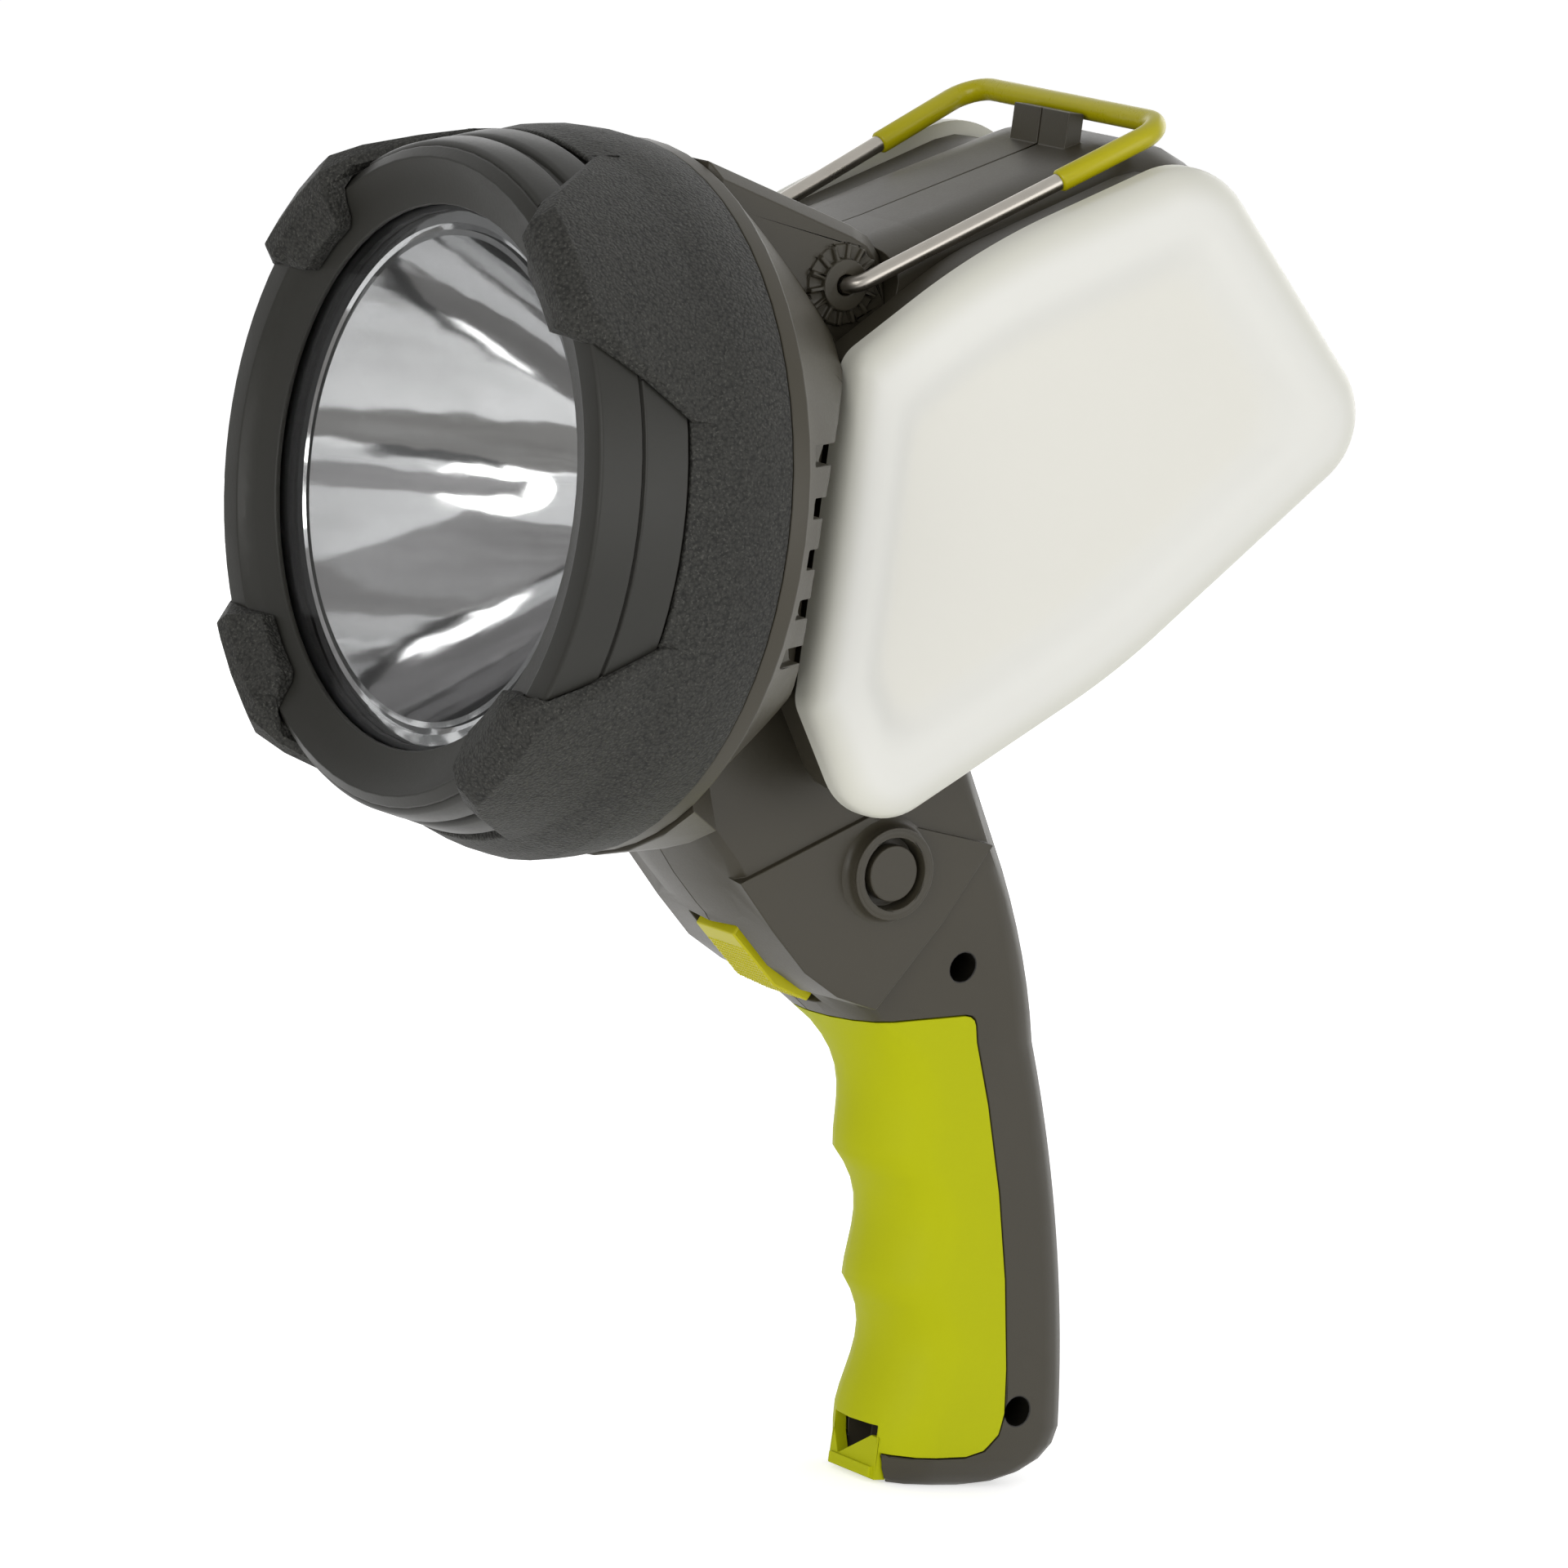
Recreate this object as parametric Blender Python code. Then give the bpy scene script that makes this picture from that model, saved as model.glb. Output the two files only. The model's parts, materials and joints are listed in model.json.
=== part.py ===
"""Handheld searchlight with a spot head, two side area lights and a swinging wire hook.

Units are metres and +Z is up. Every piece is drawn in the head's frame, whose origin is the
centre of the head's rear rim: the lamp looks along -Y, the side with the button is +X and the
seam of the two housing halves is the plane X = 0. The frame itself hangs on an empty, so that
the model's own origin is the middle of the grip, where a hand holds it.
"""

import math

import bmesh
import bpy
from mathutils import Matrix, Vector

# Clearances
FIT_GAP = 0.0003
SLIDE_GAP = 0.0004
OVERRUN = 0.006

# Where the head's rear rim lies, seen from the middle of the grip
HEAD_REACH = 0.102
HEAD_RISE = 0.138

# Head housing: rim, cone that narrows to the body, and its inner steps
RIM_RADIUS = 0.0654
RIM_WIDTH = 0.0044
RIM_FILLET = 0.0008
CONE_LENGTH = 0.033
CONE_REAR_RADIUS = 0.0388
CONE_BULGE = 0.0009
MOUTH_DEPTH = 0.0018
LED_BAY_RADIUS = 0.0235
LED_BAY_FRONT = 0.0070
LED_BAY_DEPTH = 0.0150
SIDE_CUT_RADIUS = 0.036
SIDE_CUT_REAR = 0.042
SIDE_CUT_DROP = 0.002
SIDE_CUT_FLOOR = 0.0335
FIN_COUNT = 5
FIN_PITCH = 0.0093
FIN_SLOT = 0.0037
FIN_DEPTH = 0.0028
FIN_FRONT = 0.0022
FIN_DROP = 0.0031

# Ears of the head housing that carry the hook
EAR_HALF = 0.0210
EAR_ROOF = 0.0644
EAR_ROOF_FALL = 0.0060
EAR_RADIUS = 0.0110
EAR_CHAMFER = 0.0022
PIVOT_Y = 0.0314
BOSS_RADIUS = 0.0076
BOSS_RISE = 0.0006
HUB_RADIUS = 0.0049
HUB_RISE = 0.0019
TOOTH_COUNT = 14
TOOTH_WIDTH = 0.0009
TOOTH_RISE = 0.0015

# Skirt under the head that laps over the neck
SKIRT_LENGTH = 0.0122
SKIRT_RADIUS = 0.0661
SKIRT_INNER = 0.0505
SKIRT_FRONT_ANGLE = 38
SKIRT_REAR_ANGLE = 29

# Swell of the rim and of the guard towards their lowest point
RIM_SWELL = 0.0016
GUARD_SWELL = 0.0024
GUARD_REAR_SWELL = 0.0020
GUARD_FRONT_SWELL = 0.0009
SWELL_POWER = 3

# Bezel ring
BEZEL_DROP = 0.0019
BEZEL_RADIUS = RIM_RADIUS - BEZEL_DROP
STEP_TWO_FRONT = 0.0346
STEP_TWO_DROP = 0.0015
STEP_TWO_REAR = 0.0275
STEP_ONE_FRONT = 0.0368
STEP_ONE_DROP = 0.0027
CREST_DROP = 0.0031
CREST_BACK = 0.0430
FACE_DROP = 0.0052
CREST_FRONT = 0.0445
CREASE_DROP = 0.0090
CREASE_FRONT = 0.0420
LIP_WIDTH = 0.0136
LIP_RADIUS = BEZEL_RADIUS - LIP_WIDTH
LIP_FRONT = 0.0408
LIP_WALL = 0.0011
BEZEL_WALL = 0.0050
BEZEL_BORE = BEZEL_RADIUS - BEZEL_WALL
MOUTH_STEP = 0.0013
MOUTH_RADIUS = BEZEL_BORE - MOUTH_STEP

# Smooth pads of the bezel at its two sides, between the claws
PAD_ANGLE = 36
PAD_CREST_DROP = 0.0007
PAD_CREST_FRONT = 0.0440
PAD_REAR_RISE = 0.0011
PAD_REAR = 0.0267
PAD_GROOVE_AT = 0.0356
PAD_GROOVE = 0.0008

# Rubber guard
GUARD_WALL = 0.0032
GUARD_REAR_WALL = 0.0021
GUARD_FRONT_WALL = 0.0013
GUARD_FRONT = 0.0262
GUARD_REAR = 0.0047
CLAW_COUNT = 4
CLAW_ROOT = 0.0190
CLAW_WALL = 0.0027
CLAW_SHOULDER = 0.0034
CLAW_LAND_DROP = 0.0013
CLAW_LAND_WIDTH = 0.0036
CLAW_SHARES = (
    (27, 0.0, 1.0, 0.90),
    (20, 0.43, 0.88, 0.62),
    (14.5, 0.80, 0.80, 0.30),
    (10, 1.0, 0.32, 0.0),
    (7, 1.0, 0.0, 0.0),
    (0, 1.0, 0.0, 0.0),
)
CLAW_REACH = 0.0487
CLAW_HOOK = 0.0110

# Lens, gasket and reflector
LENS_THICKNESS = 0.0020
LENS_LAP = 0.0031
LENS_RADIUS = LIP_RADIUS + LENS_LAP
GASKET_THICKNESS = 0.0012
GASKET_LAP = 0.0008
GASKET_INNER = LIP_RADIUS - GASKET_LAP
GASKET_EDGE = 0.0010
GASKET_OUTER = LENS_RADIUS + GASKET_EDGE
REFLECTOR_MOUTH = 0.0054
REFLECTOR_RADIUS = LIP_RADIUS - REFLECTOR_MOUTH
REFLECTOR_DEPTH = 0.0420
REFLECTOR_HOLE = 0.0085
REFLECTOR_WALL = 0.0013
REFLECTOR_FLANGE_EDGE = 0.0005
REFLECTOR_FLANGE = GASKET_OUTER - REFLECTOR_FLANGE_EDGE
LED_BOARD_RADIUS = 0.0150
LED_BOARD_THICKNESS = 0.0016
LED_BASE_RADIUS = 0.0042
LED_BASE_HEIGHT = 0.0010
LED_DOME_RADIUS = 0.0028
SINK_RADIUS = 0.0215
SINK_CORE = 0.0110
SINK_DEPTH = 0.0085
SINK_PLATE = 0.0025
SINK_FIN = 0.0014
SINK_FIN_COUNT = 14

# Side light outline, as shares of its length (Y) and height (Z), with a corner radius in
# shares of the height. The corners run from the front top round the back to the front bottom
LIGHT_LENGTH = 0.1252
LIGHT_HEIGHT = 0.1343
LIGHT_FRONT = 0.0238
LIGHT_BOTTOM = 0.0585
LIGHT_TOP = LIGHT_HEIGHT - LIGHT_BOTTOM
LIGHT_CORNER_SHARES = (
    (0.0, 0.670, 0.02),
    (0.222, 0.833, 0.45),
    (0.601, 1.0, 0.135),
    (1.0, 0.629, 0.105),
    (0.560, 0.257, 1.1),
    (0.133, 0.0, 0.100),
    (0.0, 0.190, 0.05),
)

# Height of the hook's pivot, as a share of the side light's height
PIVOT_SHARE = 0.7588
PIVOT_Z = LIGHT_HEIGHT * PIVOT_SHARE - LIGHT_BOTTOM

# Body between the side lights, with shares of the side light's length and height
BODY_HALF = 0.0235
BODY_MARGIN = 0.0010
BODY_WALL = 0.0028
BODY_EDGE = 0.0055
BODY_CROWN = 0.0120
BODY_CORNER_SHARES = (
    (0.085, 0.795, 0.01),
    (0.206, 0.838, 0.10),
    (0.652, 1.014, 0.150),
    (1.008, 0.640, 0.110),
    (0.560, 0.252, 1.1),
    (0.290, 0.062, 0.120),
    (0.085, 0.270, 0.060),
)

# Catch on top of the body, in front of the hook's crossbar
CATCH_HALF = 0.0088
CATCH_FRONT = 0.0876
CATCH_DEPTH = 0.0036
CATCH_OVER = 0.0024
CATCH_TOP = LIGHT_TOP + CATCH_OVER
CATCH_HEIGHT = 0.0120

# Side light tray, diffuser and LED board
TRAY_INSET = 0.0026
TRAY_DEPTH = 0.0105
TRAY_WALL = 0.0020
TRAY_FLOOR = 0.0018
DIFFUSER_LIP = 0.0018
DIFFUSER_RISE = 0.0080
DIFFUSER_WALL = 0.0020
DIFFUSER_SHOULDER = 0.0085
DIFFUSER_DISH = 0.0009
DIFFUSER_DISH_EDGE = 0.0050
DIFFUSER_SHARES = ((0.0, 0.0), (0.10, 0.50), (0.28, 0.78), (0.55, 0.94), (1.0, 1.0))
PANEL_BOARD = 0.0014
PANEL_INSET = 0.0090
PANEL_LED_SIZE = 0.0050
PANEL_LED_HEIGHT = 0.0012
PANEL_LED_PITCH = 0.0170

# Neck and grip, from the top down. A station is (depth, front, half width, nose, corner)
NECK_TOP = -0.0260
GRIP_CORNER = 0.0080
NECK_HALF = 0.0186
GRIP_HALF = 0.0145
NECK_NOSE = 0.0060
GRIP_NOSE = 0.0120
BACK_TOP = 0.0824
BACK_TOP_Z = -0.0470
BACK_RUN = 0.1243
BACK_LEAN = 0.0754
BACK_CURL = 0.0302
NECK_FRONT_TOP = 0.0020
SEAM_TOP_Z = -0.0656
SEAM_TOP_Y = 0.0215
SEAM_SLOPE_SHARE = 0.625
SEAM_LOW_Z = -0.0935
SEAM_LOW_Y = 0.0570
GRIP_FRONT_Z = -0.0995
GRIP_FRONT_Y = 0.0656
GROOVE_PITCH = 0.0252
GROOVE_DEPTH = 0.0037
GROOVE_COUNT = 3
GROOVE_SKEW = 0.72
GROOVE_POWER = 1.4
RIDGE_LEAN = 0.0120
RIDGE_CURL = 0.0019
BASE_HEIGHT = 0.0122
BASE_BACK_ROUND = 0.0200
BASE_FRONT_ROUND = 0.0012
BASE_SIDE_ROUND = 0.0050

# Cheeks of the switch housing, in the side view: (Y, Z) shares of its length and height
CHEEK_HALF = 0.0196
CHEEK_FLARE = 0.0012
CHEEK_LENGTH = 0.0590
CHEEK_HEIGHT = 0.0368
CHEEK_FRONT = 0.0280
CHEEK_BOTTOM = -0.0928
CHEEK_SHARES = (
    (0.0, 0.630),
    (0.075, 0.690),
    (0.466, 1.0),
    (0.970, 0.880),
    (0.815, 0.470),
    (0.595, 0.0),
    (0.437, 0.060),
    (0.297, 0.180),
    (0.150, 0.390),
)

# Grip overmould
OVERMOULD_WALL = 0.0022
OVERMOULD_SETBACK = 0.0170
OVERMOULD_TOP_FRONT = -0.0984
OVERMOULD_TOP_BACK = -0.0940
OVERMOULD_BOTTOM = -0.1806
OVERMOULD_CORNER = 0.0130
OVERMOULD_TOP_CORNER = 0.0030
LIP_DROP = 0.0020

# Lanyard slot at the foot of the grip
SLOT_HALF = 0.0070
SLOT_TOP = -0.1762
SLOT_FOOT = -0.1950
SLOT_SKIN = 0.0020
SLOT_BAR = 0.0048
SLOT_DEPTH = 0.0062
BAR_HALF = 0.0076
BAR_FOOT = -0.1868
BAR_SILL = -0.1843
BAR_TOP = -0.1785
BAR_REST = -0.1800
BAR_SETBACK = 0.0012

# Cavity in the housing halves
CAVITY_INSET = 0.0020
CAVITY_TOP = -0.0580
CAVITY_BOTTOM = -0.1700

# Mode button
BUTTON_Y = 0.0610
BUTTON_Z = -0.0662
BUTTON_RADIUS = 0.0054
BUTTON_GROOVE = 0.0015
BUTTON_RING = 0.0020
BUTTON_RING_RISE = 0.0030
BUTTON_SEAT = 0.0010
BUTTON_TRAVEL = 0.0010
BUTTON_STEM_RADIUS = 0.0027
BUTTON_SINK = 0.0004
BUTTON_COLLAR = 0.0010

# Trigger, drawn along a line from its top to its low end
TRIGGER_HALF = 0.0064
TRIGGER_RECESS_HALF = 0.0080
TRIGGER_RECESS_DEPTH = 0.0022
TRIGGER_TOP = (0.0375, -0.0813)
TRIGGER_LOW = (0.0568, -0.0936)
TRIGGER_PROUD = 0.0024
TRIGGER_KNEE_SHARE = 0.63
TRIGGER_BODY = 0.0085
TRIGGER_TRAVEL = 0.0020

# Switches
MICRO_HALF = 0.0032
MICRO_HEIGHT = 0.0065
MICRO_PLUNGER = 0.0012
TACT_HALF = 0.0031
TACT_HEIGHT = 0.0035
TACT_PLUNGER = 0.0017

# Control board
BOARD_X = 0.0040
BOARD_THICKNESS = 0.0016
BOARD_LENGTH = 0.0300
BOARD_HEIGHT = 0.0150

# Cells
CELL_RADIUS = 0.0092
CELL_LENGTH = 0.0650
CELL_FRONT = 0.0480
CELL_Z = 0.0230
HOLDER_WALL = 0.0014
CELL_NUB_RADIUS = 0.0028
CELL_NUB = 0.0010

# Charging socket on the rear underside, with its rubber flap
SOCKET_Y = 0.1120
SOCKET_RADIUS = 0.0042
SOCKET_BORE = 0.0028
SOCKET_LENGTH = 0.0100
SOCKET_PIN = 0.0010
FLAP_LENGTH = 0.0165
FLAP_HALF = 0.0066
FLAP_THICKNESS = 0.0018
FLAP_RECESS = 0.0012

# Housing screws: (Y, Z) on the grip, and the two that the side lights hide
SCREW_UPPER = (0.0838, -0.0845)
SCREW_LOWER = (0.1136, -0.1717)
SCREW_REAR = (0.1290, 0.0270)
SCREW_FRONT = (0.0440, -0.0440)
SCREW_HEAD_RADIUS = 0.0026
SCREW_HEAD_HEIGHT = 0.0020
SCREW_SHANK_RADIUS = 0.0013
SCREW_CROSS = 0.0017
SCREW_CROSS_WIDTH = 0.0004
SCREW_LENGTH = 0.0105
SCREW_SEAT = 0.0015
SCREW_HOLE_RADIUS = 0.0029
SCREW_BOSS_RADIUS = 0.0050

# Hook
WIRE_RADIUS = 0.0016
HOOK_PIVOT_HALF = 0.0252
HOOK_CORNER_HALF = 0.0312
HOOK_LENGTH = 0.0722
HOOK_OVER = 0.0033
HOOK_ANGLE = math.degrees(math.asin((LIGHT_TOP + HOOK_OVER - PIVOT_Z) / HOOK_LENGTH))
HOOK_PIN = 0.0110
HOOK_PIN_BEND = 0.0034
HOOK_CORNER_BEND = 0.0060
SLEEVE_WALL = 0.00045
SLEEVE_GAP = 0.00012
SLEEVE_ARM = 0.0255

# Facets
HEAD_STEPS = 64
RING_STEPS = 40
SMALL_STEPS = 20
WIRE_SIDES = 10
CORNER_STEPS = 4
NOSE_STEPS = 8


def clear_scene():
    for obj in list(bpy.data.objects):
        bpy.data.objects.remove(obj)


def material(name, colour, roughness, metallic=0.0, alpha=1.0):
    """A plain Principled material in linear colour."""
    found = bpy.data.materials.get(name)
    if found:
        return found
    made = bpy.data.materials.new(name)
    made.use_nodes = True
    shader = made.node_tree.nodes["Principled BSDF"]
    shader.inputs["Base Color"].default_value = (*colour, 1.0)
    shader.inputs["Roughness"].default_value = roughness
    shader.inputs["Metallic"].default_value = metallic
    shader.inputs["Alpha"].default_value = alpha
    made.diffuse_color = (*colour, alpha)
    return made


def housing_grey():
    return material("housing_grey", (0.078, 0.071, 0.060), 0.55)


def head_grey():
    return material("head_grey", (0.050, 0.049, 0.045), 0.50)


def rubber_black():
    return material("rubber_black", (0.038, 0.039, 0.036), 0.80)


def grip_lime():
    return material("grip_lime", (0.450, 0.500, 0.016), 0.50)


def trigger_yellow():
    return material("trigger_yellow", (0.620, 0.620, 0.023), 0.45)


def sleeve_olive():
    return material("sleeve_olive", (0.376, 0.352, 0.003), 0.35)


def steel():
    return material("steel", (0.560, 0.530, 0.490), 0.30, 1.0)


def chrome():
    return material("chrome", (0.850, 0.850, 0.860), 0.05, 1.0)


def milky():
    return material("milky_diffuser", (0.760, 0.760, 0.720), 0.35)


def clear_plastic():
    return material("clear_lens", (0.950, 0.960, 0.960), 0.02, 0.0, 0.25)


def board_green():
    return material("board_green", (0.020, 0.110, 0.050), 0.50)


def board_white():
    return material("board_white", (0.700, 0.700, 0.680), 0.45)


def emitter_yellow():
    return material("emitter_yellow", (0.800, 0.600, 0.080), 0.40)


def aluminium():
    return material("aluminium", (0.600, 0.610, 0.620), 0.35, 1.0)


def cell_blue():
    return material("cell_blue", (0.030, 0.130, 0.350), 0.40)


def switch_black():
    return material("switch_black", (0.020, 0.020, 0.020), 0.45)


def add_empty(name, place, parent=None):
    made = bpy.data.objects.new(name, None)
    made.empty_display_size = RIM_RADIUS
    made.location = place
    made.parent = parent
    bpy.context.collection.objects.link(made)
    return made


def hang_on(obj, empty):
    """Moves an object of the head's frame under an empty on its joint's axis."""
    obj.data.transform(Matrix.Translation(-empty.location))
    obj.parent = empty
    return obj


def add_mesh(name, mesh_data, look=None, parent=None):
    """A named object from a bmesh, with its faces outward and smooth up to sharp edges."""
    bmesh.ops.recalc_face_normals(mesh_data, faces=mesh_data.faces)
    mesh = bpy.data.meshes.new(name)
    mesh_data.to_mesh(mesh)
    mesh_data.free()
    made = bpy.data.objects.new(name, mesh)
    bpy.context.collection.objects.link(made)
    made.parent = parent or bpy.data.objects["head_frame"]
    if look:
        mesh.materials.append(look)
    return made


def smooth(obj, degrees=32):
    obj.data.shade_smooth()
    obj.data.set_sharp_from_angle(angle=math.radians(degrees))
    return obj


def settle(obj):
    """Replaces the object's mesh by the result of its modifiers."""
    bpy.context.view_layer.update()
    graph = bpy.context.evaluated_depsgraph_get()
    made = bpy.data.meshes.new_from_object(obj.evaluated_get(graph), depsgraph=graph)
    obj.modifiers.clear()
    obj.data = made
    return obj


def combine(obj, operation, *tools):
    """Joins, cuts or trims the object by the tools, one after the other, and drops the tools."""
    for tool in tools:
        step = obj.modifiers.new(operation.title(), "BOOLEAN")
        step.operation = operation
        step.solver = "EXACT"
        step.object = tool
        settle(obj)
    for tool in tools:
        bpy.data.objects.remove(tool)
    return obj


def join(obj, *tools):
    return combine(obj, "UNION", *tools)


def cut(obj, *tools):
    return combine(obj, "DIFFERENCE", *tools)


def trim(obj, *tools):
    return combine(obj, "INTERSECT", *tools)


def copy_of(obj, name):
    made = obj.copy()
    made.data = obj.data.copy()
    made.name = name
    bpy.context.collection.objects.link(made)
    return made


def bevel_edges(obj, width, wanted, segments=1):
    """Bevels the edges for which wanted(middle, direction) holds."""
    mesh_data = bmesh.new()
    mesh_data.from_mesh(obj.data)
    edges = []
    for edge in mesh_data.edges:
        first, second = (vertex.co for vertex in edge.verts)
        if wanted((first + second) / 2, (second - first).normalized()):
            edges.append(edge)
    bmesh.ops.bevel(
        mesh_data, geom=edges, offset=width, segments=segments, profile=0.5, affect="EDGES"
    )
    mesh_data.to_mesh(obj.data)
    mesh_data.free()
    return obj


def lofted(name, rings, look=None, parent=None, closed=False):
    """A solid through equal rings of points. An end ring is capped unless the loft closes on itself."""
    mesh_data = bmesh.new()
    rows = [[mesh_data.verts.new(point) for point in ring] for ring in rings]
    count = len(rows[0])
    pairs = list(zip(rows, rows[1:]))
    if closed:
        pairs.append((rows[-1], rows[0]))
    for one, two in pairs:
        for i in range(count):
            j = (i + 1) % count
            mesh_data.faces.new((one[i], one[j], two[j], two[i]))
    if not closed:
        mesh_data.faces.new(rows[0])
        mesh_data.faces.new(rows[-1])
    return add_mesh(name, mesh_data, look, parent)


def turned(name, profile, look=None, steps=RING_STEPS, centre=(0.0, 0.0), parent=None):
    """A solid of revolution about Y. The profile is a closed outline of (Y, radius) points."""
    mesh_data = bmesh.new()
    rows = []
    for along, radius in profile:
        if radius == 0:
            rows.append([mesh_data.verts.new((0.0, along, 0.0))])
            continue
        row = []
        for i in range(steps):
            turn = 2 * math.pi * i / steps
            row.append(
                mesh_data.verts.new((radius * math.cos(turn), along, radius * math.sin(turn)))
            )
        rows.append(row)
    for one, two in zip(rows, rows[1:] + rows[:1]):
        for i in range(steps):
            j = (i + 1) % steps
            if len(one) == 1 and len(two) == 1:
                break
            if len(one) == 1:
                mesh_data.faces.new((one[0], two[i], two[j]))
            elif len(two) == 1:
                mesh_data.faces.new((one[i], one[j], two[0]))
            else:
                mesh_data.faces.new((one[i], one[j], two[j], two[i]))
    made = add_mesh(name, mesh_data, look, parent)
    made.data.transform(Matrix.Translation((centre[0], 0.0, centre[1])))
    return made


def cylinder(name, radius, start, end, look=None, steps=SMALL_STEPS, parent=None):
    """A round bar between two points of the head's frame."""
    start, end = Vector(start), Vector(end)
    turn = Vector((0, 0, 1)).rotation_difference(end - start)
    mesh_data = bmesh.new()
    bmesh.ops.create_cone(
        mesh_data, cap_ends=True, segments=steps, radius1=radius, radius2=radius,
        depth=(end - start).length,
        matrix=Matrix.Translation((start + end) / 2) @ turn.to_matrix().to_4x4(),
    )
    return add_mesh(name, mesh_data, look, parent)


def prism(name, outline, low, high, look=None, parent=None):
    """A (Y, Z) outline extruded from X = low to X = high."""
    rings = [[(x, y, z) for y, z in outline] for x in (low, high)]
    return lofted(name, rings, look, parent)


def block(name, low, high, look=None, parent=None):
    """A box between two opposite corners."""
    outline = [(low[1], low[2]), (high[1], low[2]), (high[1], high[2]), (low[1], high[2])]
    return prism(name, outline, low[0], high[0], look, parent)


def rounded(corners, steps=CORNER_STEPS):
    """An outline whose corners (Y, Z, radius) are replaced by arcs."""
    outline = []
    for i, (y, z, radius) in enumerate(corners):
        corner = Vector((y, z))
        before = Vector(corners[i - 1][:2]) - corner
        after = Vector(corners[(i + 1) % len(corners)][:2]) - corner
        half = before.angle(after) / 2
        reach = min(radius / math.tan(half), before.length * 0.49, after.length * 0.49)
        radius = reach * math.tan(half)
        middle = corner + (before.normalized() + after.normalized()).normalized() * (
            radius / math.sin(half)
        )
        first = corner + before.normalized() * reach - middle
        last = corner + after.normalized() * reach - middle
        sweep = first.angle_signed(last)
        for k in range(steps + 1):
            turned_arm = first.copy()
            turned_arm.rotate(Matrix.Rotation(-sweep * k / steps, 2))
            outline.append(tuple(middle + turned_arm))
    return outline


def moved_in(corners, inset):
    """The same corners with every side moved inwards, and the radii with them."""
    moved = []
    for i, (y, z, radius) in enumerate(corners):
        corner = Vector((y, z))
        before = (corner - Vector(corners[i - 1][:2])).normalized()
        after = (Vector(corners[(i + 1) % len(corners)][:2]) - corner).normalized()
        inward_before = Vector((before.y, -before.x))
        inward_after = Vector((after.y, -after.x))
        reach = inset / (1 + inward_before.dot(inward_after))
        corner = corner + (inward_before + inward_after) * reach
        moved.append((corner.x, corner.y, max(radius - inset, radius * 0.3)))
    return moved


def from_shares(shares, start_y, start_z, length, height):
    corners = []
    for along, up, radius in shares:
        corners.append((start_y + along * length, start_z + up * height, radius * height))
    return corners


def light_corners(inset=0.0):
    corners = from_shares(
        LIGHT_CORNER_SHARES, LIGHT_FRONT, -LIGHT_BOTTOM, LIGHT_LENGTH, LIGHT_HEIGHT
    )
    return moved_in(corners, inset)


def body_corners(inset=0.0):
    corners = from_shares(
        BODY_CORNER_SHARES, LIGHT_FRONT, -LIGHT_BOTTOM, LIGHT_LENGTH, LIGHT_HEIGHT
    )
    return moved_in(corners, inset - BODY_MARGIN)


def plate(name, corners_at, stations, look=None):
    """A solid through the outlines that corners_at gives for each (inset, X) station."""
    rings = [[(x, y, z) for y, z in rounded(corners_at(inset))] for inset, x in stations]
    return lofted(name, rings, look)


def sided(value, side):
    return value if side > 0 else -value


def span(start, end, side):
    """X limits of something that lies between two distances from the seam, on one side."""
    return sorted((sided(start, side), sided(end, side)))


def side_name(side):
    return "right" if side > 0 else "left"


def cone_radius(along):
    """Outer radius of the head housing behind its rim."""
    share = min(max(along / CONE_LENGTH, 0.0), 1.0)
    straight = RIM_RADIUS - RIM_FILLET + (CONE_REAR_RADIUS - RIM_RADIUS) * share
    return straight + CONE_BULGE * 4 * share * (1 - share)


def cone_outline(grow=0.0, rings=8):
    """(Y, radius) of the cone's outer side, from the rim to its rear face."""
    outline = []
    for i in range(rings + 1):
        along = CONE_LENGTH * i / rings
        outline.append((along + (grow if i == rings else 0.0), cone_radius(along) + grow))
    return outline


def ear_outline(grow=0.0):
    """Side view of the ears: a roof that falls to the rear and ends round the hook's pivot."""
    reach = EAR_RADIUS + grow
    slope = math.atan2(EAR_ROOF_FALL, PIVOT_Y)
    outline = [(-grow, EAR_ROOF - RIM_FILLET + grow)]
    first = math.pi / 2 - slope
    last = -math.pi * 0.62
    for k in range(2 * CORNER_STEPS + 1):
        turn = first + (last - first) * k / (2 * CORNER_STEPS)
        outline.append((PIVOT_Y + reach * math.cos(turn), PIVOT_Z + reach * math.sin(turn)))
    outline.append((LED_BAY_FRONT, PIVOT_Z - EAR_RADIUS))
    outline.append((-grow, PIVOT_Z))
    return outline


def skirt(name, grow=0.0):
    """Lap under the rim: part of a ring that narrows to the rear."""
    rings = []
    stations = ((0.0, SKIRT_FRONT_ANGLE), (SKIRT_LENGTH + grow, SKIRT_REAR_ANGLE))
    for along, degrees in stations:
        half = math.radians(degrees) + grow / SKIRT_RADIUS
        ring = []
        for radius, order in ((SKIRT_RADIUS + grow, 1), (SKIRT_INNER - grow, -1)):
            for k in range(NOSE_STEPS + 1):
                turn = -math.pi / 2 + order * half * (2 * k / NOSE_STEPS - 1)
                ring.append((radius * math.cos(turn), along, radius * math.sin(turn)))
        rings.append(ring)
    return lofted(name, rings)


def swell(obj, beyond, amount_at):
    """Moves what lies beyond a radius outwards, most at the lowest point and not at all on top."""
    for vertex in obj.data.vertices:
        x, along, z = vertex.co
        radius = math.hypot(x, z)
        if radius > beyond:
            share = ((1 - z / radius) / 2) ** SWELL_POWER
            grown = 1 + amount_at(along) * share / radius
            vertex.co = (x * grown, along, z * grown)
    return obj


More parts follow.
